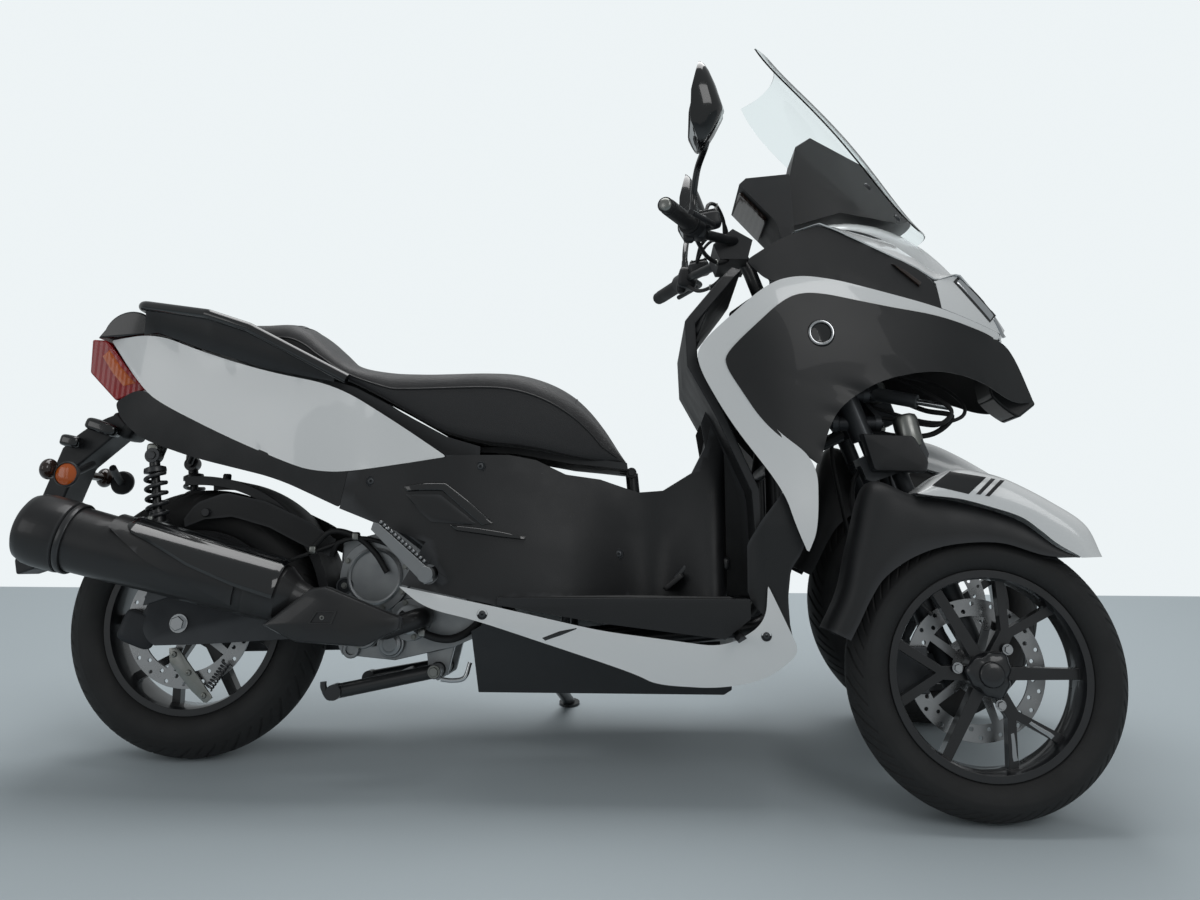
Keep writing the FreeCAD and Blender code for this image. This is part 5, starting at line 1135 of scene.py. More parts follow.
PANELS = [
    Panel("fairing_panels", Finishes.WHITE, [
        (1714, 884), (1568, 925), (1412, 957), (1347, 971), (1269, 978), (1205, 960), (1066, 837),
        (1055, 795), (1121, 676), (1223, 539), (1243, 474), (1265, 422), (1287, 470), (1291, 598),
        (1194, 670), (1117, 791), (1126, 819), (1248, 927), (1296, 937), (1431, 915), (1572, 899),
        (1707, 866)], (1711, 876), (1265, 430)),
    Panel("shield_panels", Finishes.SATIN_BLACK, [
        (1711, 870), (1572, 905), (1431, 920), (1296, 942), (1240, 930), (1121, 819), (1111, 791),
        (1191, 664), (1295, 590), (1317, 669), (1349, 715), (1431, 765), (1548, 791), (1652, 777),
        (1734, 735), (1791, 745), (1745, 841)], (1295, 592), (1791, 745), 50),
    Panel("nose_inserts", Finishes.MATTE_BLACK, [
        (1162, 1010), (1237, 1062), (1319, 1098), (1358, 1085), (1528, 1014), (1568, 980), (1574, 915),
        (1412, 950), (1347, 964), (1269, 971), (1207, 958)], (1162, 1010), (1574, 918), 55),
    Panel("tail_panels", Finishes.WHITE, [
        (-231, 874), (-116, 883), (-4, 839), (149, 792), (307, 760), (448, 676), (551, 609), (456, 594),
        (335, 579), (276, 582), (230, 592), (81, 651), (-77, 724), (-127, 757)], (-179, 815), (551, 609), 70),
    Panel("tail_lower_cover", Finishes.MATTE_BLACK, [
        (-199, 733), (-135, 764), (-79, 727), (79, 654), (228, 596), (275, 586), (345, 584), (331, 508),
        (192, 567), (3, 611), (-123, 652), (-180, 697)], (-195, 722), (338, 546), 50),
    Panel("side_skirts", Finishes.WHITE, [
        (474, 356), (674, 317), (867, 276), (1106, 247), (1183, 292), (1189, 363), (1248, 239), (1185, 188),
        (1094, 171), (975, 177), (939, 195), (867, 219), (625, 294), (528, 315)], (474, 356), (1189, 362),
          45),
]


@dataclass
class Hood:
    """A front mudguard's moulded part, arched across the tyre.

    upper is its crest and lower its open edge, both in side view in the front end's frame.
    """

    name: str
    finish: Finish
    upper: Points
    lower: Points
    outboard: float
    inboard: float
    wall: float = 3.0
    power: float = 3.4
    rows: int = 90
    columns: int = 41

    def build(self) -> None:
        """The arched sheet on both front ends.

        Across the hood an angle a runs from 0 to pi. The distance across is the half width times the cosine
        of a, and the height the rise times the sine of a, both raised to 2 / power with their sign kept.
        """
        crest, edge = smooth_line(self.upper, 10), smooth_line(self.lower, 10)
        crest, edge = spaced(crest, self.rows)[:, None], spaced(edge, self.rows)[:, None]
        a = np.linspace(0, np.pi, self.columns)[None]
        across = np.sign(np.cos(a)) * np.abs(np.cos(a)) ** (2 / self.power)
        rise = np.abs(np.sin(a))[..., None] ** (2 / self.power)
        grids = []
        for inset in (0.0, self.wall):
            half = (self.outboard + self.inboard) / 2 - inset
            y = (self.inboard - self.outboard) / 2 - half * across
            flat = edge + (crest - edge) * rise * (1 - inset / 120)
            grids.append(np.concatenate([flat[..., :1], np.broadcast_to(y[..., None], flat[..., :1].shape),
                                         flat[..., 1:]], -1))
        points, faces = folded(grids[0], grids[1])
        for side in Side:
            node = "%s_%s" % (self.name, side.word)
            piece = mesh_piece(node + "_skin", STANCE.front_end(points, side), faces, side.front_end,
                               self.finish, 50)
            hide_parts(node)


HOODS = [
    Hood("fender", Finishes.MATTE_BLACK,
         [(1292, 341), (1326, 411), (1349, 500), (1389, 614), (1471, 592), (1553, 580), (1664, 547),
          (1728, 498), (1767, 476)],
         [(1333, 322), (1350, 352), (1376, 400), (1405, 438), (1460, 474), (1530, 496), (1620, 500),
          (1700, 478), (1765, 474)],
         76, 68.7),
    Hood("fender_cap", Finishes.WHITE,
         [(1471, 593), (1516, 625), (1561, 642), (1610, 635), (1660, 619), (1737, 578), (1796, 536),
          (1820, 476)],
         [(1473, 591), (1500, 587), (1553, 581), (1610, 566), (1664, 548), (1700, 522), (1728, 499),
          (1771, 474)],
         74, 52),
]


class BodyTrim:
    """Vents, slots, lenses, discs and screws on the side panels."""

    def __init__(self, frame: dict) -> None:
        """Keep the loaded frame."""
        self.frame = frame

    def plates(self, name: str, finish: Finish, nodes: Sequence[str], pieces: Sequence[tuple],
               lift: float) -> None:
        """Lay the same plates on both sides, joined into one piece."""
        parts = [Cover(self.frame, nodes, side).plate(upper, lower, lift)
                 for side in Side for upper, lower in pieces]
        points, faces = joined(parts)
        mesh_piece(name, points, faces, Body.FRAME.value, finish, 50)

    def buttons(self, name: str, finish: Finish, nodes: Sequence[str], spots: Points,
                profile: Points) -> None:
        """Turned buttons that stand on the side panels at spots given in side view."""
        parts = []
        for side in Side:
            for point in Cover(self.frame, nodes, side).lay(np.array(spots)):
                parts.append(turned(profile, point, (0, side.value, 0), 28))
        fix(name, finish, parts)

    def build(self) -> None:
        """Everything that lies on a side panel."""
        covers = ["side_covers"]
        self.plates("vent_trim", Finishes.GLOSS_BLACK, covers, [
            ([(466, 550), (510, 556), (553, 556), (602, 520), (652, 478)],
             [(474, 539), (511, 541), (546, 541), (588, 507), (630, 473)]),
            ([(566, 473), (622, 468), (668, 461), (716, 451)],
             [(580, 462), (625, 456), (668, 450), (716, 446)])], 4.0)
        self.plates("vent_pads", Finishes.MATTE_BLACK, covers, [
            ([(472, 533), (543, 533), (580, 505), (618, 477)],
             [(478, 526), (502, 500), (528, 479), (608, 474)])], 3.0)
        self.plates("skirt_slots", Finishes.GLOSS_BLACK, ["side_skirts"], [
            ([(756, 262), (790, 275), (822, 281)], [(762, 257), (792, 267), (822, 279)])], 0.8)
        self.plates("front_position_lamps", Finishes.LENS_SMOKE, ["nose_inserts"], [
            ([(1472, 1017), (1500, 1003), (1534, 978)], [(1484, 1006), (1504, 988), (1528, 968)])], 7.0)
        self.plates("tail_lamp_strips", Finishes.LENS_AMBER, ["tail_lamp"], [
            ([(-226, 850), (-196, 812), (-160, 776)], [(-240, 836), (-214, 800), (-186, 770)])], 1.2)
        self.plates("headlamp_frames", Finishes.GLOSS_BLACK, ["headlamps"], [
            ([(1626, 1004), (1666, 970), (1709, 924)], [(1612, 990), (1648, 950), (1690, 906)])], 1.6)
        self.plates("headlamp_lenses", Finishes.REFLECTOR, ["headlamps"], [
            ([(1630, 1000), (1666, 966), (1704, 925)], [(1619, 990), (1652, 955), (1692, 912)])], 3.4)
        self.plates("position_strips", Finishes.CHROME, ["headlamps"], [
            ([(1707, 921), (1718, 900), (1727, 878)], [(1700, 917), (1711, 895), (1720, 875)])], 2.4)
        dish = [(0, 0.6), (15, 0.8), (19, 1.8), (21, 4.6), (26, 5.2), (27.5, 3.5), (28.5, -2)]
        self.buttons("shield_discs", Finishes.GLOSS_BLACK, ["shield_panels"], [(1307, 854)], dish)
        self.buttons("shield_disc_rims", Finishes.CHROME, ["shield_panels"], [(1307, 854)],
                     [(20.4, 4.4), (21.4, 5.9), (23.4, 6.3), (25.2, 5.9), (26, 4.6)])
        screw = [(0, 0.4), (2.4, 0.4), (2.6, 2.6), (5.4, 2.4), (6.4, 1.6), (6.8, 0.3), (9.4, 0.2), (10, 0.9),
                 (10.8, -1)]
        self.buttons("cover_screws", Finishes.DARK_CAST, ["side_covers"],
                     [(396, 560), (900, 420), (620, 590)], screw)
        self.buttons("skirt_screws", Finishes.DARK_CAST, ["side_skirts"], [(1184, 270), (640, 305)], screw)
        fix("cowl_sides", Finishes.WHITE, [self.cowl_side()], both=True, sharp_deg=50)
        self.fender_marks()

    def cowl_side(self) -> tuple[Array, Array]:
        """The white side of the nose, from the cowl's edge to the black insert, bowed out by 7 mm."""
        upper = [(1252, -147, 1078), (1351, -129, 1116), (1420, -114, 1109), (1491, -97, 1096),
                 (1545, -72, 1066), (1591, -48, 1029), (1661, -43, 936), (1704, -40, 866)]
        lower = [(1268, -230, 1080), (1320, -222, 1100), (1359, -214, 1087), (1440, -199, 1052),
                 (1528, -178, 1016), (1572, -168, 990), (1626, -147, 1010), (1697, -111, 941),
                 (1724, -90, 893)]
        bow = 4 * np.sin(np.pi * np.linspace(0, 1, 9))[:, None]
        face = ruled(spaced(upper, 40), spaced(lower, 40), 9) + np.array([1, -1, 1]) * bow
        return folded(face, face + [-2, 1, -2])

    def fender_marks(self) -> None:
        """The black patch and two grey stripes on each fender cap."""
        for side in Side:
            cover = Cover(self.frame, ["fender_cap_" + side.word], side, wheel=True)
            body = side.front_end
            points, faces = cover.plate([(1536, 633), (1604, 622)], [(1500, 606), (1568, 590)], 0.5, 12)
            mesh_piece("fender_patch_" + side.word, points, faces, body, Finishes.GLOSS_BLACK, 60)
            parts = [cover.plate([(x, 620 - k), (x + 8, 619 - k)], [(x - 31, 590 - k), (x - 23, 589 - k)],
                                 1.0, 4)
                     for x, k in ((1613, 0), (1630, 3))]
            points, faces = joined(parts)
            mesh_piece("fender_stripes_" + side.word, points, faces, body, Finishes.HEAT_PAINT, 60)


class Footwell:
    """Kick panels before the rider's feet, the tunnel's front walls, floor mats, the pedal and the lids."""

    def kick_panel(self) -> tuple[Array, Array]:
        """The panel from the footboard to the white side panel, bowed out by 16 mm towards the top."""
        rear = spaced([(1160, 330), (1152, 350), (1152, 440), (1180, 485), (1222, 538), (1250, 560)], 26)
        ahead = spaced([(1240, 238), (1230, 292), (1228, 340), (1234, 392), (1256, 424), (1270, 470),
                        (1270, 560)], 26)
        flat = ruled(rear, ahead, 14)
        x, z = flat[..., 0], flat[..., 1]
        out = 239.5 + 16 * np.clip((z - 336) / 140, 0, 1) - 34 * np.clip((1190 - x) / 60, 0, 1) ** 2
        out = out - 8 * np.clip((300 - z) / 80, 0, 1)
        face = np.stack([x, -out, z], -1)
        return folded(face, face + [0, 3, 0])

    def tunnel_wall(self) -> tuple[Array, Array]:
        """The wall that closes the tunnel between the side cover and the inner leg shield."""
        rear = spaced([(1086, 340), (1086, 540), (1080, 640), (1072, 690)], 16)
        ahead = spaced([(1172, 340), (1164, 540), (1112, 660), (1084, 720)], 16)
        face = np.insert(ruled(rear, ahead, 6), 1, -113, axis=2)
        return folded(face, face + [0, 3, 0])

    def build(self) -> None:
        """All of it, on both sides apart from the pedal."""
        fix("kick_panels", Finishes.MATTE_BLACK, [self.kick_panel()], both=True)
        fix("tunnel_walls", Finishes.MATTE_BLACK, [self.tunnel_wall()], both=True)
        ribs = []
        for y in np.linspace(-232, -140, 7):
            line = np.stack([np.linspace(700, 1120, 30), np.full(30, y), np.full(30, 337.4)], -1)
            ribs.append(carried(line, 2.4, 6))
        fix("floor_ribs", Finishes.TREAD_MAT, ribs, both=True)
        mats = [pillow((910, -186, 336.6), (216, 54, 1.6), 0.12)]
        fix("floor_mats", Finishes.TREAD_MAT, mats, both=True)
        arm = hose([(1108, -150, 400), (1076, -152, 412), (1040, -154, 398), (1016, -156, 372)], 6, 6)
        fix("brake_pedal_arm", Finishes.FRAME, [arm, pillow((1112, -144, 402), (14, 16, 14), 0.6)])
        fix("brake_pedal_pad", Finishes.RUBBER, [pillow((1010, -157, 366), (24, 26, 5), 0.3, -38)])
        lids = [pillow((1075, -150, 905), (6, 58, 46), 0.2, 22)]
        fix("pocket_lids", Finishes.CONTROL, lids, both=True)
        fix("ignition_lock", Finishes.CHROME, [turned([(0, 9), (8, 9), (9, 7), (13, 7), (15, 4), (15, -8)],
                                                       (1094, -62, 968), (-0.8, 0, 0.6), 24)])


class Silencer:
    """The exhaust's gloss shield, end cap, guard plate and bolts, over the CAD silencer."""

    rear = np.array([-262.0, -202.0, 458.0])
    nose = np.array([235.0, -192.0, 336.0])
    rear_radius = 66.0
    taper = 9.24

    def __init__(self) -> None:
        """Work out the silencer's own axes: along, up and out."""
        run = self.nose - self.rear
        self.length = float(np.linalg.norm(run))
        self.along = run / self.length
        self.up = np.array([0, 0, 1.0]) - self.along[2] * self.along
        self.up /= np.linalg.norm(self.up)
        self.out = np.cross(self.along, self.up)
        self.out *= -np.sign(self.out[1])

    def spot(self, t: Array, turn: Array, lift: Array) -> Array:
        """Points on the tapering can: a distance along, an angle from the top outwards, and a lift."""
        radius = self.rear_radius - self.taper * t / self.length + lift
        return self.rear + self.along * t[..., None] + radius[..., None] * (
            self.up * np.cos(turn)[..., None] + self.out * np.sin(turn)[..., None])

    def shield(self) -> tuple[Array, Array]:
        """The gloss heat shield, its lower edge swung down towards the front."""
        t = np.linspace(182, 508, 44)[:, None] * np.ones((1, 26))
        low = np.interp(t, [182, 196, 240, 330, 430, 508], [40, 52, 60, 80, 92, 96])
        high = np.interp(t, [182, 200, 508], [0, -14, -10])
        share = np.linspace(0, 1, 26)[None]
        turn = np.radians(high + (low - high) * share)
        rim = np.minimum(edge_share(44)[:, None], edge_share(26)[None])
        crease = np.exp(-((share - 0.42) / 0.05) ** 2) * 1.6
        return folded(self.spot(t, turn, 9.5 + 3.5 * rim + crease), self.spot(t, turn, t * 0 + 7.5))

    def guard(self) -> tuple[Array, Array]:
        """The plate over the header pipe: its outline repeated inwards, each loop a little further out."""
        line = ringed([(213, 281), (302, 350), (333, 354), (485, 296), (482, 276), (411, 242), (278, 250)],
                      56)
        return layered(line, [(0, -228), (0.96, -228), (1, -226), (1, -240), (0.965, -246), (0.9, -249),
                              (0.5, -254), (0.25, -255), (0, -255)])

    def build(self) -> None:
        """The pieces, all fixed to the exhaust."""
        fix("silencer_shield", Finishes.GLOSS_BLACK, [self.shield()])
        cap = [(40, -37), (54, -36), (64, -29), (70, -14), (72, 4), (72, 52), (71, 57), (68, 59), (64, 58),
               (64, 0), (40, -30)]
        ring = [(66, 62), (69.5, 62), (70.5, 64), (70.5, 72), (69.5, 74), (66, 74)]
        fix("silencer_cap", Finishes.HEAT_PAINT, [turned(cap, self.rear, self.along, 72, True),
                                                  turned(ring, self.rear, self.along, 72, True)])
        fix("header_guard", Finishes.HEAT_PAINT, [self.guard()], sharp_deg=30)
        frame = np.array([(308, 286), (321, 307), (358, 307), (350, 285)], float)
        levels = [(0, -252), (1.12, -252), (1.12, -256.5), (0.9, -256.5), (0.8, -253.6), (0, -253.6)]
        fix("guard_recess", Finishes.GLOSS_BLACK, [layered(frame, levels, (334, 296))], sharp_deg=20)
        t = np.array([176.0, 204.0])
        angle = np.radians([34.0, 2.0])
        spots = self.spot(t, angle, np.array([1.0, 12.0]))
        axes = [self.up * math.cos(a) + self.out * math.sin(a) for a in angle]
        bolts = screws(spots, axes, 6.5, 6)
        fix("exhaust_bolts", Finishes.ZINC, [bolts, screws([(332, -253, 296)], [(0, -1, 0)], 5, 3)])


class RunningGear:
    """Fasteners, brake parts, hoses and springs round the engine and the rear wheel."""

    def circle(self, x: float, z: float, y: float, radius: float, count: int, start: float = 0.3) -> list:
        """Spots of bolts on a circle in side view."""
        turn = start + np.arange(count) / count * 2 * np.pi
        return [(x + radius * math.cos(a), y, z + radius * math.sin(a)) for a in turn]

    def build(self) -> None:
        """The right-hand covers' bolts and caps, the drive case's, the brake and the stands' springs."""
        out = (0, -1, 0)
        heads = self.circle(392, 372, -94.4, 66, 8) + self.circle(470, 286, -98, 35, 4) \
            + self.circle(372, 262, -92, 28, 3)
        bolts = screws(heads, [out] * len(heads), 5, 5, hexagon=True)
        left = self.circle(440, 296, 186.4, 54, 5) + [(-40, 176.4, 318), (150, 176.4, 368), (290, 176.4, 372),
                                                     (-30, 176.4, 222), (120, 176.4, 218), (280, 176.4, 222)]
        more = screws(left, [(0, 1, 0)] * len(left), 5.5, 5, hexagon=True)
        fix("cover_bolts", Finishes.ZINC, [bolts, more], sharp_deg=30)
        rings = [turned([(58, 0), (58, 3), (54, 5), (50, 3), (50, 0)], (392, -94.2, 372), out, 48),
                 turned([(0, 12), (14, 12), (16, 10), (22, 9), (24, 4), (27, 3), (28, 0)], (432, -92, 238),
                        out, 32),
                 turned([(0, 2), (10, 2), (11, 8), (16, 8), (18, 5), (18, 0)], (350, -84, 226), out, 28),
                 turned([(30, 0), (30, 4), (26, 7), (12, 7), (10, 9), (0, 9)], (470, -98, 286), out, 32)]
        fix("engine_caps", Finishes.CAST, rings)
        hole = turned([(0, 0.6), (13, 0.6), (14, 2.6), (17, 2.6), (18, 0)], (330, -94.4, 352), out, 28)
        fix("starter_plug", Finishes.DARK_CAST, [hole])
        nuts = [(0, -120.4, 276), (262, -120.4, 300)]
        fix("axle_nuts", Finishes.CHROME, [screws(nuts[:1], [out], 15, 13, hexagon=True),
                                           screws(nuts[1:], [out], 9, 8, hexagon=True)], sharp_deg=30)
        fix("brake_caliper", Finishes.DARK_CAST, [pillow((-98, -80, 262), (40, 11, 34), 0.4, 20),
                                                  pillow((-60, -84, 290), (30, 8, 16), 0.4, 30)])
        lever = [(-34, 224), (-16, 226), (40, 160), (66, 128), (52, 116), (20, 142), (-30, 196)]
        levels = [(0, -72), (1, -72), (1, -75.5), (0.96, -76), (0, -76)]
        fix("parking_lever", Finishes.ZINC, [layered(ringed(lever, 42), levels),
                                             screws([(-22, -76, 212), (48, -76, 132), (12, -76, 176)],
                                                    [out] * 3, 6, 4)])
        fix("parking_spring", Finishes.FRAME, [coil((92, -82, 196), (58, -80, 146), 7.5, 1.9, 9)])
        brake = [(-60, -92, 300), (0, -112, 352), (90, -116, 372), (180, -108, 392), (262, -104, 420),
                 (330, -100, 446)]
        loom = [(262, -104, 430), (300, -112, 462), (352, -112, 452), (392, -108, 420), (420, -106, 380)]
        fuel = [(300, -98, 412), (318, -110, 440), (372, -112, 448), (432, -104, 430), (470, -98, 400)]
        drain = [(452, -100, 300), (500, -112, 262), (560, -110, 250), (610, -96, 280), (620, -84, 330)]
        fix("hoses", Finishes.RUBBER, [hose(brake, 4.2), hose(loom, 6), hose(fuel, 4.5), hose(drain, 8)])
        clamps = [pillow(p, (8, 9, 9), 0.5) for p in ((262, -106, 424), (352, -112, 452), (500, -112, 262))]
        fix("hose_clamps", Finishes.ZINC, clamps)
        rail = hose([(542, -110, 172), (566, -112, 170), (590, -112, 176), (600, -110, 205)], 4.5, 8)
        tang = hose([(352, -146, 152), (330, -152, 140), (318, -156, 158), (316, -156, 170)], 6.5, 8)
        fix("stand_rod", Finishes.CHROME, [rail])
        fix("stand_tang", Finishes.FRAME, [tang], Body.CENTRE_STAND)
        fix("stand_nuts", Finishes.ZINC, [screws([(527, -112.4, 186)], [out], 10, 7, hexagon=True),
                                          screws([(527, 112.4, 186)], [(0, 1, 0)], 10, 7, hexagon=True)],
            Body.CENTRE_STAND, sharp_deg=30)
        inner = [(-24, 486), (0, 520), (60, 542), (150, 524), (240, 484), (304, 446)]
        under = [(-20, 470), (20, 486), (80, 492), (160, 470), (230, 436), (292, 412)]
        face = np.insert(ruled(spaced(inner, 24), spaced(under, 24), 8), 1, -90, axis=2)
        fix("inner_mudguard_sides", Finishes.MATTE_BLACK, [folded(face, face + [0, 3, 0])], both=True)
        fix("mudguard_knobs", Finishes.CONTROL, [turned([(0, 9), (7, 9), (9, 6), (9, -12)], (42, -40, 576),
                                                        (0, 0, 1), 20),
                                                 turned([(0, 5), (8, 5), (9, 3), (9, -2)], (23, -92, 500),
                                                        out, 20)])
        clevis = [pillow((-98, -103, 634), (13, 12, 10), 0.5)]
        fix("shock_clevises", Finishes.ZINC, clevis, both=True)


class RearFittings:
    """Sheets under the grab rail and the seat, the pegs' teeth, and pods and reflectors at the carrier."""

    def rail_fairing(self) -> tuple[Array, Array]:
        """The sheet from the grab rail down to the white tail panel.

        Its rows stand at the rail, half way, level with the seat's underside and at the panel's edge.
        """
        x = np.linspace(-150, 300, 40)
        rail = np.interp(x, [-150, 20, 112, 300], [940, 908, 876, 782])
        edge = np.interp(x, [-150, -116, -4, 149, 300], [880, 884, 843, 796, 766])
        out = np.interp(x, [-150, -100, 20, 300], [104, 132, 172, 178])
        inner = np.interp(x, [-150, -60, 150, 300], [98, 126, 152, 172])
        rows = [(out, rail), (out - 4, rail * 0.7 + edge * 0.3), (out - 6, rail * 0.35 + edge * 0.65),
                (np.maximum(inner, out - 22), edge + 2)]
        grid = np.stack([np.stack([x, -y, z], -1) for y, z in rows], 1)
        return folded(grid, grid + [0, 3, 0])

    def build(self) -> None:
        """The pieces, both sides where the vehicle has two."""
        fix("rail_fairings", Finishes.MATTE_BLACK, [self.rail_fairing()], both=True)
        top = spaced([(284, 776), (340, 760), (400, 730), (470, 692), (540, 656), (610, 636)], 30)
        shelf = np.insert(np.stack([top, top - [0, 26], top - [0, 58]], 1), 1, -146, axis=2)
        fix("seat_shelves", Finishes.MATTE_BLACK, [folded(shelf, shelf + [0, 3, 0])], both=True)
        rim = [(0, -3), (24, -3), (27, 0), (27, 7), (25, 9), (23.5, 9), (23.5, 5), (0, 5)]
        lens = [(0, 11), (10, 10.6), (19, 9), (22.5, 7.4), (23, 5)]
        run = np.array([92.0, 0, -76]) / 119
        teeth = [pillow(np.array([438.0, -256, 476]) + run * k, (3.4, 9.5, 3.4), 0.5, 40)
                 for k in np.arange(0, 118, 9.5)]
        fix("peg_teeth", Finishes.CAST, teeth, both=True)
        spot = (-268, -124, 576)
        fix("reflector_cups", Finishes.CONTROL, [turned(rim, spot, (0, -1, 0), 40)], both=True)
        fix("side_reflectors", Finishes.LENS_AMBER, [turned(lens, spot, (0, -1, 0), 40)], both=True)
        arm = hose([(-268, -118, 576), (-262, -84, 588), (-256, -46, 604)], 8, 6, 12)
        fix("reflector_arms", Finishes.MATTE_BLACK, [arm], both=True)
        pods = [pillow((-300, -62, 652), (22, 20, 13), 0.5, 12),
                pillow((-240, -50, 684), (38, 22, 14), 0.5, 18)]
        fix("plate_lamp_pods", Finishes.GLOSS_BLACK, pods, both=True)
        guard = [pillow((-206, 0, 690), (34, 44, 22), 0.4, 30)]
        fix("carrier_root", Finishes.MATTE_BLACK, guard)


class Cockpit:
    """Mirrors, switch housings, brake reservoirs, cables, the instrument glass and the screen's screws."""

    def shell(self) -> tuple[Array, Array]:
        """One mirror's housing: its outline repeated from the rim to the rounded front.

        Each loop is centre + scale (outline - centre), set back between the rear and the front face, which
        both follow the height.
        """
        outline = smooth_line([(-270, 1240), (-318, 1226), (-364, 1240), (-388, 1320), (-376, 1388),
                               (-330, 1412), (-288, 1372), (-270, 1300)], 8, True)
        middle = outline.mean(0)
        loops = []
        for deep, scale in ((0.06, 0), (0.06, 0.93), (0, 0.95), (0, 0.99), (0.1, 1), (0.3, 0.995),
                            (0.55, 0.95), (0.78, 0.84), (0.93, 0.62), (1, 0.3), (1.02, 0)):
            flat = middle + (outline - middle) * scale
            rear = np.interp(flat[:, 1], [1234, 1270, 1330, 1406], [1060, 1044, 1046, 1064])
            front = np.interp(flat[:, 1], [1234, 1300, 1398, 1412], [1088, 1116, 1086, 1070])
            loops.append(np.stack([rear + (front - rear) * deep, flat[:, 0], flat[:, 1]], -1))
        return np.stack(loops), grid_faces(len(loops), len(outline), False, True)

    def glass(self) -> tuple[Array, Array]:
        """The mirror glass, just inside the housing's rim."""
        housing = self.shell()[0]
        loops = [housing[1] * 0 + housing[0].mean(0) + (-0.4, 0, 0), housing[1] + (-0.8, 0, 0),
                 housing[1] + (1.5, 0, 0)]
        return np.stack(loops), grid_faces(3, housing.shape[1], False, True)

    def build(self) -> None:
        """Everything that the rider's hands and eyes meet."""
        stalk = hose([(1056.5, -228, 1113.6), (1057, -230, 1160), (1064, -262, 1206), (1078, -318, 1236),
                      (1080, -326, 1262)], 7, 8, 12)
        boot = turned([(0, -2), (13, -2), (13, 6), (9, 16), (8, 30), (0, 30)], (1056.5, -228, 1112),
                      (0, 0, 1), 20)
        shells = fix("mirror_shells", Finishes.GLOSS_BLACK, [self.shell(), stalk, boot], Body.BAR, both=True,
                     sharp_deg=55)
        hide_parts("mirrors")
        fix("mirror_glass", Finishes.MIRROR, [self.glass()], Body.BAR, both=True, sharp_deg=60)
        pods = [pillow((1062, -214, 1092), (24, 22, 27), 0.45, 10),
                pillow((1090, -196, 1112), (26, 22, 17), 0.4, -12),
                pillow((1046, -222, 1072), (12, 12, 16), 0.6)]
        fix("switch_housings", Finishes.CONTROL, pods, Body.BAR, both=True)
        lids = [pillow((1088, -196, 1130), (22, 18, 3), 0.25, -12)]
        fix("reservoir_lids", Finishes.GLOSS_BLACK, lids, Body.BAR, both=True)
        tops = [(1072 + 32 * k, -196 + 12 * j, 1134 + 7 * k - 4) for k in (0, 1) for j in (-1, 1)]
        fix("reservoir_screws", Finishes.ZINC, [screws(tops, [(0, 0, 1)] * 4, 2.6, 2)], Body.BAR, both=True)
        buttons = [pillow((1044, -212 - k * 14, 1102 - k * 10), (5, 5, 5), 0.5) for k in range(3)]
        fix("switch_buttons", Finishes.RUBBER, buttons, Body.BAR, both=True)
        paths = [([(1082, -184, 1120), (1092, -160, 1160), (1112, -120, 1172), (1130, -84, 1150),
                   (1134, -62, 1118)], 4.2),
                 ([(1074, -196, 1104), (1096, -150, 1146), (1118, -104, 1158), (1136, -70, 1138),
                   (1142, -56, 1112)], 3.6),
                 ([(1060, -206, 1074), (1084, -160, 1048), (1112, -110, 1044), (1136, -72, 1058),
                   (1142, -50, 1080)], 4.8)]
        fix("bar_cables", Finishes.RUBBER, [hose(p, r, sides=8) for p, r in paths], Body.BAR, both=True)
        fix("cable_ties", Finishes.ZINC, [pillow((1112, -120, 1172), (4, 6, 6), 0.6),
                                          pillow((1112, -110, 1044), (4, 7, 7), 0.6)],
            Body.BAR, both=True)
        ends = [turned([(0, 4), (9, 4), (13, 1), (14.5, -4), (14.5, -16)], (992.4, -389, 1084.5),
                       (-0.371, -0.928, -0.03), 24)]
        fix("bar_ends", Finishes.ZINC, ends, Body.BAR, both=True)
        fix("instrument_glass", Finishes.LENS_SMOKE, [pillow((1197, 0, 1184), (4, 84, 44), 0.14, -42)])
        fix("instrument_hood", Finishes.MATTE_BLACK, [pillow((1206, 0, 1232), (30, 96, 8), 0.3, -20)])
        holes = [(1512, -98, 1148), (1442, -138, 1208)]
        fix("screen_screws", Finishes.CONTROL, [screws(holes, [(0.75, -0.3, 0.6)] * 2, 9, 6)], both=True)


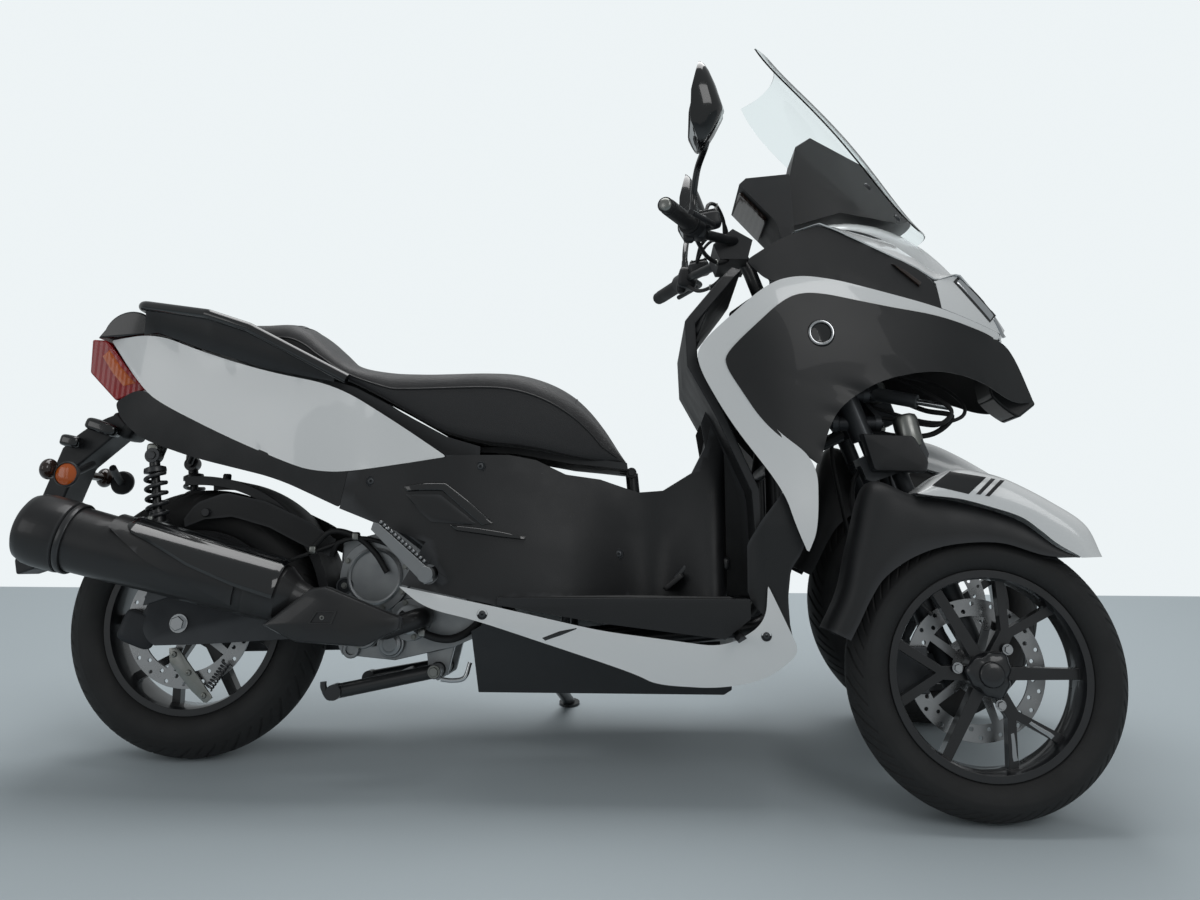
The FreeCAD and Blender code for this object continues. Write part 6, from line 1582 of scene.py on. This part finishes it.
class FrontEnds:
    """What rides on each front end: fork top, cover box, hoses and the brake's bolts."""

    rake_deg = 20.0

    def build(self) -> None:
        """The same parts on the right and, mirrored, on the left."""
        king = np.array([-math.sin(math.radians(self.rake_deg)), 0, math.cos(math.radians(self.rake_deg))])
        canister = [(0, 0), (20, 0), (25, 4), (26, 14), (26, 60), (23, 68), (14, 72), (0, 73)]
        box = [(1393, 716), (1497, 712), (1524, 662), (1519, 640), (1413, 641)]
        levels = [(0, 60), (0.97, 60), (1, 56), (1, 30), (0.95, 25), (0.8, 23), (0, 23)]
        brake = [(1452, 76, 304), (1424, 108, 372), (1402, 120, 470), (1384, 118, 580), (1392, 104, 640),
                 (1420, 96, 664)]
        wire = [(1500, 62, 250), (1516, 112, 330), (1500, 122, 440), (1476, 122, 560), (1462, 112, 640)]
        ribs = [turned([(18, 0), (20.5, 2), (18, 4)], np.array([1562.0, 92, 232]) + king * h, king, 24)
                for h in (338, 350, 362)]
        sets = [
            ("canister", Finishes.ZINC, [turned(canister, (1506, 84, 692), (-0.2, 0, 0.98), 36)]),
            ("fork_cover", Finishes.MATTE_BLACK, [layered(ringed(box, 40), levels)]),
            ("brake_hose", Finishes.RUBBER, [hose(brake, 5), hose(wire, 3, sides=8)] + ribs),
            ("caliper_bolts", Finishes.ZINC, [screws([(1452, 79, 292), (1452, 79, 232), (1478, 79, 262)],
                                                     [(0, 1, 0)] * 3, 6.5, 5)]),
            ("yoke_bolts", Finishes.ZINC, [screws([(1420, 119, 655), (1500, 119, 650)], [(0, 1, 0)] * 2, 7, 6,
                                                  hexagon=True)]),
        ]
        for side in Side:
            for name, finish, parts in sets:
                points, faces = joined(parts)
                mesh_piece("%s_%s" % (name, side.word), STANCE.front_end(points, side), faces,
                           side.front_end, finish, 40)
        self.centre()

    def centre(self) -> None:
        """Hoses, a bracket and the tilt lock's cylinder between the front ends, fixed to the frame."""
        paths = [([(1500, -40, 800), (1560, -80, 760), (1600, -110, 720), (1570, -100, 690), (1500, -60, 706),
                   (1430, -40, 716)], 5),
                 ([(1520, 30, 820), (1600, -10, 790), (1640, -60, 740), (1622, -90, 706), (1560, -70, 700),
                   (1440, -30, 740)], 4),
                 ([(1500, -20, 760), (1560, -50, 728), (1610, -76, 712), (1572, -60, 676), (1500, -50, 672),
                   (1430, -30, 690)], 6)]
        fix("linkage_hoses", Finishes.RUBBER, [hose(p, r, sides=8) for p, r in paths])
        lock = carried(np.array([(1450, -20, 770), (1540, -70, 744)]), 15, 16)
        rod = carried(np.array([(1540, -70, 744), (1600, -100, 728)]), 7, 12)
        fix("tilt_lock", Finishes.DARK_CAST, [lock, pillow((1450, -20, 770), (20, 18, 20), 0.5)])
        fix("tilt_lock_rod", Finishes.CHROME, [rod])


class WheelMarks:
    """Silver lacquer on the two arms of one forked spoke of each front wheel."""

    middle_deg = {Side.RIGHT: -60, Side.LEFT: -120}
    half_width_deg = 1.6

    def __init__(self, frame: dict) -> None:
        """Keep the loaded frame."""
        self.frame = frame

    def build(self) -> None:
        """Lay a narrow plate along each arm."""
        for side in Side:
            cover = Cover(self.frame, ["front_rim_" + side.word], side, wheel=True)
            parts = []
            for spread in (-1, 1):
                edges = []
                for more in (-self.half_width_deg, self.half_width_deg):
                    radii = np.linspace(112, 158, 8)
                    arm = np.interp(radii, [100, 130, 150], [8.5, 12.5, 15])
                    turn = np.radians(self.middle_deg[side] + spread * arm + more)
                    edges.append(np.stack([FRONT_AXLE[0] + radii * np.cos(turn),
                                           FRONT_AXLE[2] + radii * np.sin(turn)], -1))
                parts.append(cover.plate(edges[0], edges[1], 0.6, 12, 5))
            points, faces = joined(parts)
            mesh_piece("spoke_marks_" + side.word, points, faces, side.wheel, Finishes.SILVER, 60)


@dataclass
class Camera:
    """The photograph's viewpoint, fitted to the wheels and the floor."""

    place: tuple[float, float, float] = (0.9437, -2.2585, 0.975)
    turn_deg: float = 1.7
    focal_pixels: float = 1084.0
    centre: tuple[float, float] = (608.0, 293.0)
    frame: tuple[int, int] = (1200, 900)
    sensor: float = 36.0

    def build(self) -> None:
        """Make the camera and hand it to the scene.

        The lens is the sensor times the focal length over the frame's width. The shifts are the distance of
        the frame's middle from the principal point, over the width.
        """
        data = bpy.data.cameras.new("camera")
        data.sensor_width = self.sensor
        data.lens = self.sensor * self.focal_pixels / self.frame[0]
        data.shift_x = (self.frame[0] / 2 - self.centre[0]) / self.frame[0]
        data.shift_y = -(self.frame[1] / 2 - self.centre[1]) / self.frame[0]
        data.clip_end = 60
        camera = bpy.data.objects.new("camera", data)
        camera.location = self.place
        camera.rotation_euler = (math.pi / 2, 0, math.radians(self.turn_deg))
        bpy.context.scene.collection.objects.link(camera)
        bpy.context.scene.camera = camera


@dataclass
class Studio:
    """A pale floor that ends behind the vehicle, a world that is white for the camera, and soft lamps."""

    floor_colour: str = "#B9C3C8"
    near_edge: float = -14.0
    far_edge: float = 1.28
    half_width: float = 20.0
    key: float = 60.0
    fill: float = 22.0
    back: float = 90.0

    def build(self) -> None:
        """Floor, world and lamps."""
        mesh = bpy.data.meshes.new("floor")
        corners = [(-self.half_width, self.near_edge, 0), (self.half_width, self.near_edge, 0),
                   (self.half_width, self.far_edge, 0), (-self.half_width, self.far_edge, 0)]
        mesh.from_pydata(corners, [], [(0, 1, 2, 3)])
        floor = bpy.data.objects.new("floor", mesh)
        bpy.context.scene.collection.objects.link(floor)
        mesh.materials.append(self.paint())
        self.sky()
        self.lamp("key", (4.0, -4.4, 4.4), (1.1, 0.0, 0.5), 3.0, self.key)
        self.lamp("fill", (-3.6, -3.6, 2.4), (0.3, 0.0, 0.6), 2.6, self.fill)
        self.lamp("back", (0.8, 1.2, 3.6), (0.8, 0.0, 0.6), 3.0, self.back)

    def paint(self) -> bpy.types.Material:
        """The floor's dull paint."""
        material = bpy.data.materials.new("painted_floor")
        material.use_nodes = True
        tree = material.node_tree
        tree.nodes.clear()
        paint = add(tree, "ShaderNodeBsdfPrincipled", {"Base Color": linear(self.floor_colour),
                                                       "Roughness": 0.62, "Specular IOR Level": 0.3})
        add(tree, "ShaderNodeOutputMaterial", None, {"Surface": paint.outputs[0]})
        return material

    def sky(self) -> None:
        """An even pale world for light, a dim one for mirror rays and white for the camera."""
        world = bpy.data.worlds.new("studio")
        world.use_nodes = True
        tree = world.node_tree
        tree.nodes.clear()
        ray = add(tree, "ShaderNodeLightPath")
        seen = add(tree, "ShaderNodeMath", None, {0: ray.outputs["Is Camera Ray"],
                                                  1: ray.outputs["Is Transmission Ray"]},
                   operation="MAXIMUM")
        light = add(tree, "ShaderNodeMapRange", {3: 0.34, 4: 0.96}, {0: seen.outputs[0]})
        sky = add(tree, "ShaderNodeBackground", {"Color": linear("#F2F8FA")}, {"Strength": light.outputs[0]})
        add(tree, "ShaderNodeOutputWorld", None, {"Surface": sky.outputs[0]})
        bpy.context.scene.world = world

    def lamp(self, name: str, spot: Sequence[float], aim: Sequence[float], size: float, watts: float) -> None:
        """A square soft lamp at a spot, turned to its aim."""
        data = bpy.data.lights.new(name, "AREA")
        data.size = size
        data.energy = watts
        lamp = bpy.data.objects.new(name, data)
        lamp.location = spot
        lamp.rotation_euler = (Vector(aim) - Vector(spot)).to_track_quat("-Z", "Y").to_euler()
        bpy.context.scene.collection.objects.link(lamp)


SOFTENED: dict[str, tuple[Finish, float]] = {
    "nose_cowl": (Finishes.WHITE, 1.0), "side_covers": (Finishes.MATTE_BLACK, 1.2),
    "footboards": (Finishes.MATTE_BLACK, 2.0), "belly_pan": (Finishes.MATTE_BLACK, 1.2),
    "leg_shield": (Finishes.MATTE_BLACK, 3.0), "tail_top": (Finishes.GLOSS_BLACK, 4.0),
    "tail_lamp": (Finishes.LENS_RED, 4.0), "front_beak": (Finishes.SATIN_BLACK, 14.0),
    "headlamps": (Finishes.WHITE, 2.0), "screen_mount": (Finishes.SATIN_BLACK, 16.0),
    "dash": (Finishes.MATTE_BLACK, 18.0), "storage_tub": (Finishes.MATTE_BLACK, 2.0),
    "seat_pan": (Finishes.MATTE_BLACK, 2.0), "grab_rail": (Finishes.GLOSS_BLACK, 1.0),
    "plate_carrier": (Finishes.MATTE_BLACK, 5.0), "rear_indicators": (Finishes.LENS_SMOKE, 0.0),
    "passenger_pegs": (Finishes.CAST, 2.5), "rear_mudguard": (Finishes.MATTE_BLACK, 1.0),
    "main_frame": (Finishes.FRAME, 0.8), "tilt_arms": (Finishes.DARK_CAST, 1.5),
    "side_tubes": (Finishes.DARK_CAST, 1.2), "engine": (Finishes.CAST, 2.5),
    "drive_case": (Finishes.DARK_CAST, 4.0), "swingarm": (Finishes.DARK_CAST, 3.0),
    "exhaust": (Finishes.HEAT_PAINT, 1.2), "side_stand": (Finishes.FRAME, 1.2),
    "centre_stand": (Finishes.FRAME, 1.2), "handlebar": (Finishes.FRAME, 0.6),
    "bar_cover": (Finishes.MATTE_BLACK, 8.0), "grips": (Finishes.RUBBER, 1.0),
    "hand_controls": (Finishes.CONTROL, 2.0),
    "fork_right": (Finishes.DARK_CAST, 1.5), "fork_left": (Finishes.DARK_CAST, 1.5),
    "caliper_right": (Finishes.DARK_CAST, 3.0), "caliper_left": (Finishes.DARK_CAST, 3.0),
    "front_rim_right": (Finishes.WHEEL, 1.5), "front_rim_left": (Finishes.WHEEL, 1.5),
    "rear_rim": (Finishes.WHEEL, 1.5), "front_disc_right": (Finishes.DISC, 0.4),
    "front_disc_left": (Finishes.DISC, 0.4), "rear_disc": (Finishes.DISC, 0.4),
}


def build_wheels() -> None:
    """Tyres and wheel trim, each on its spinning body."""
    for side in Side:
        Tyre("front_tyre_" + side.word, side.wheel, FRONT_AXLE[2], 120, 90, FRONT_AXLE, side).build()
        WheelTrim("front_wheel_" + side.word, side.wheel, FRONT_AXLE, -34.0, side).build()
    Tyre("rear_tyre", Body.REAR_WHEEL.value, REAR_AXLE[2], 140, 106, REAR_AXLE).build()


def main() -> None:
    """Load the frame, make the view, then build and dress each sub-assembly."""
    logging.basicConfig(level=logging.INFO, format="%(message)s", stream=sys.stdout)
    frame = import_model()
    bpy.context.scene.view_settings.view_transform = "Standard"
    Camera().build()
    Studio().build()
    shell = Shell(frame)
    for node, (finish, width) in SOFTENED.items():
        shell.soften(node, finish, width)
    shell.soften("windshield", Finishes.SCREEN, 0.8)
    build_wheels()
    for panel in PANELS:
        panel.build(frame)
    for hood in HOODS:
        hood.build()
    for part in (Saddle(), RearSuspension(), BodyTrim(frame), Footwell(), Silencer(), RunningGear(),
                 RearFittings(), Cockpit(), FrontEnds(), WheelMarks(frame)):
        part.build()
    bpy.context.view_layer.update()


if __name__ == "__main__":
    main()
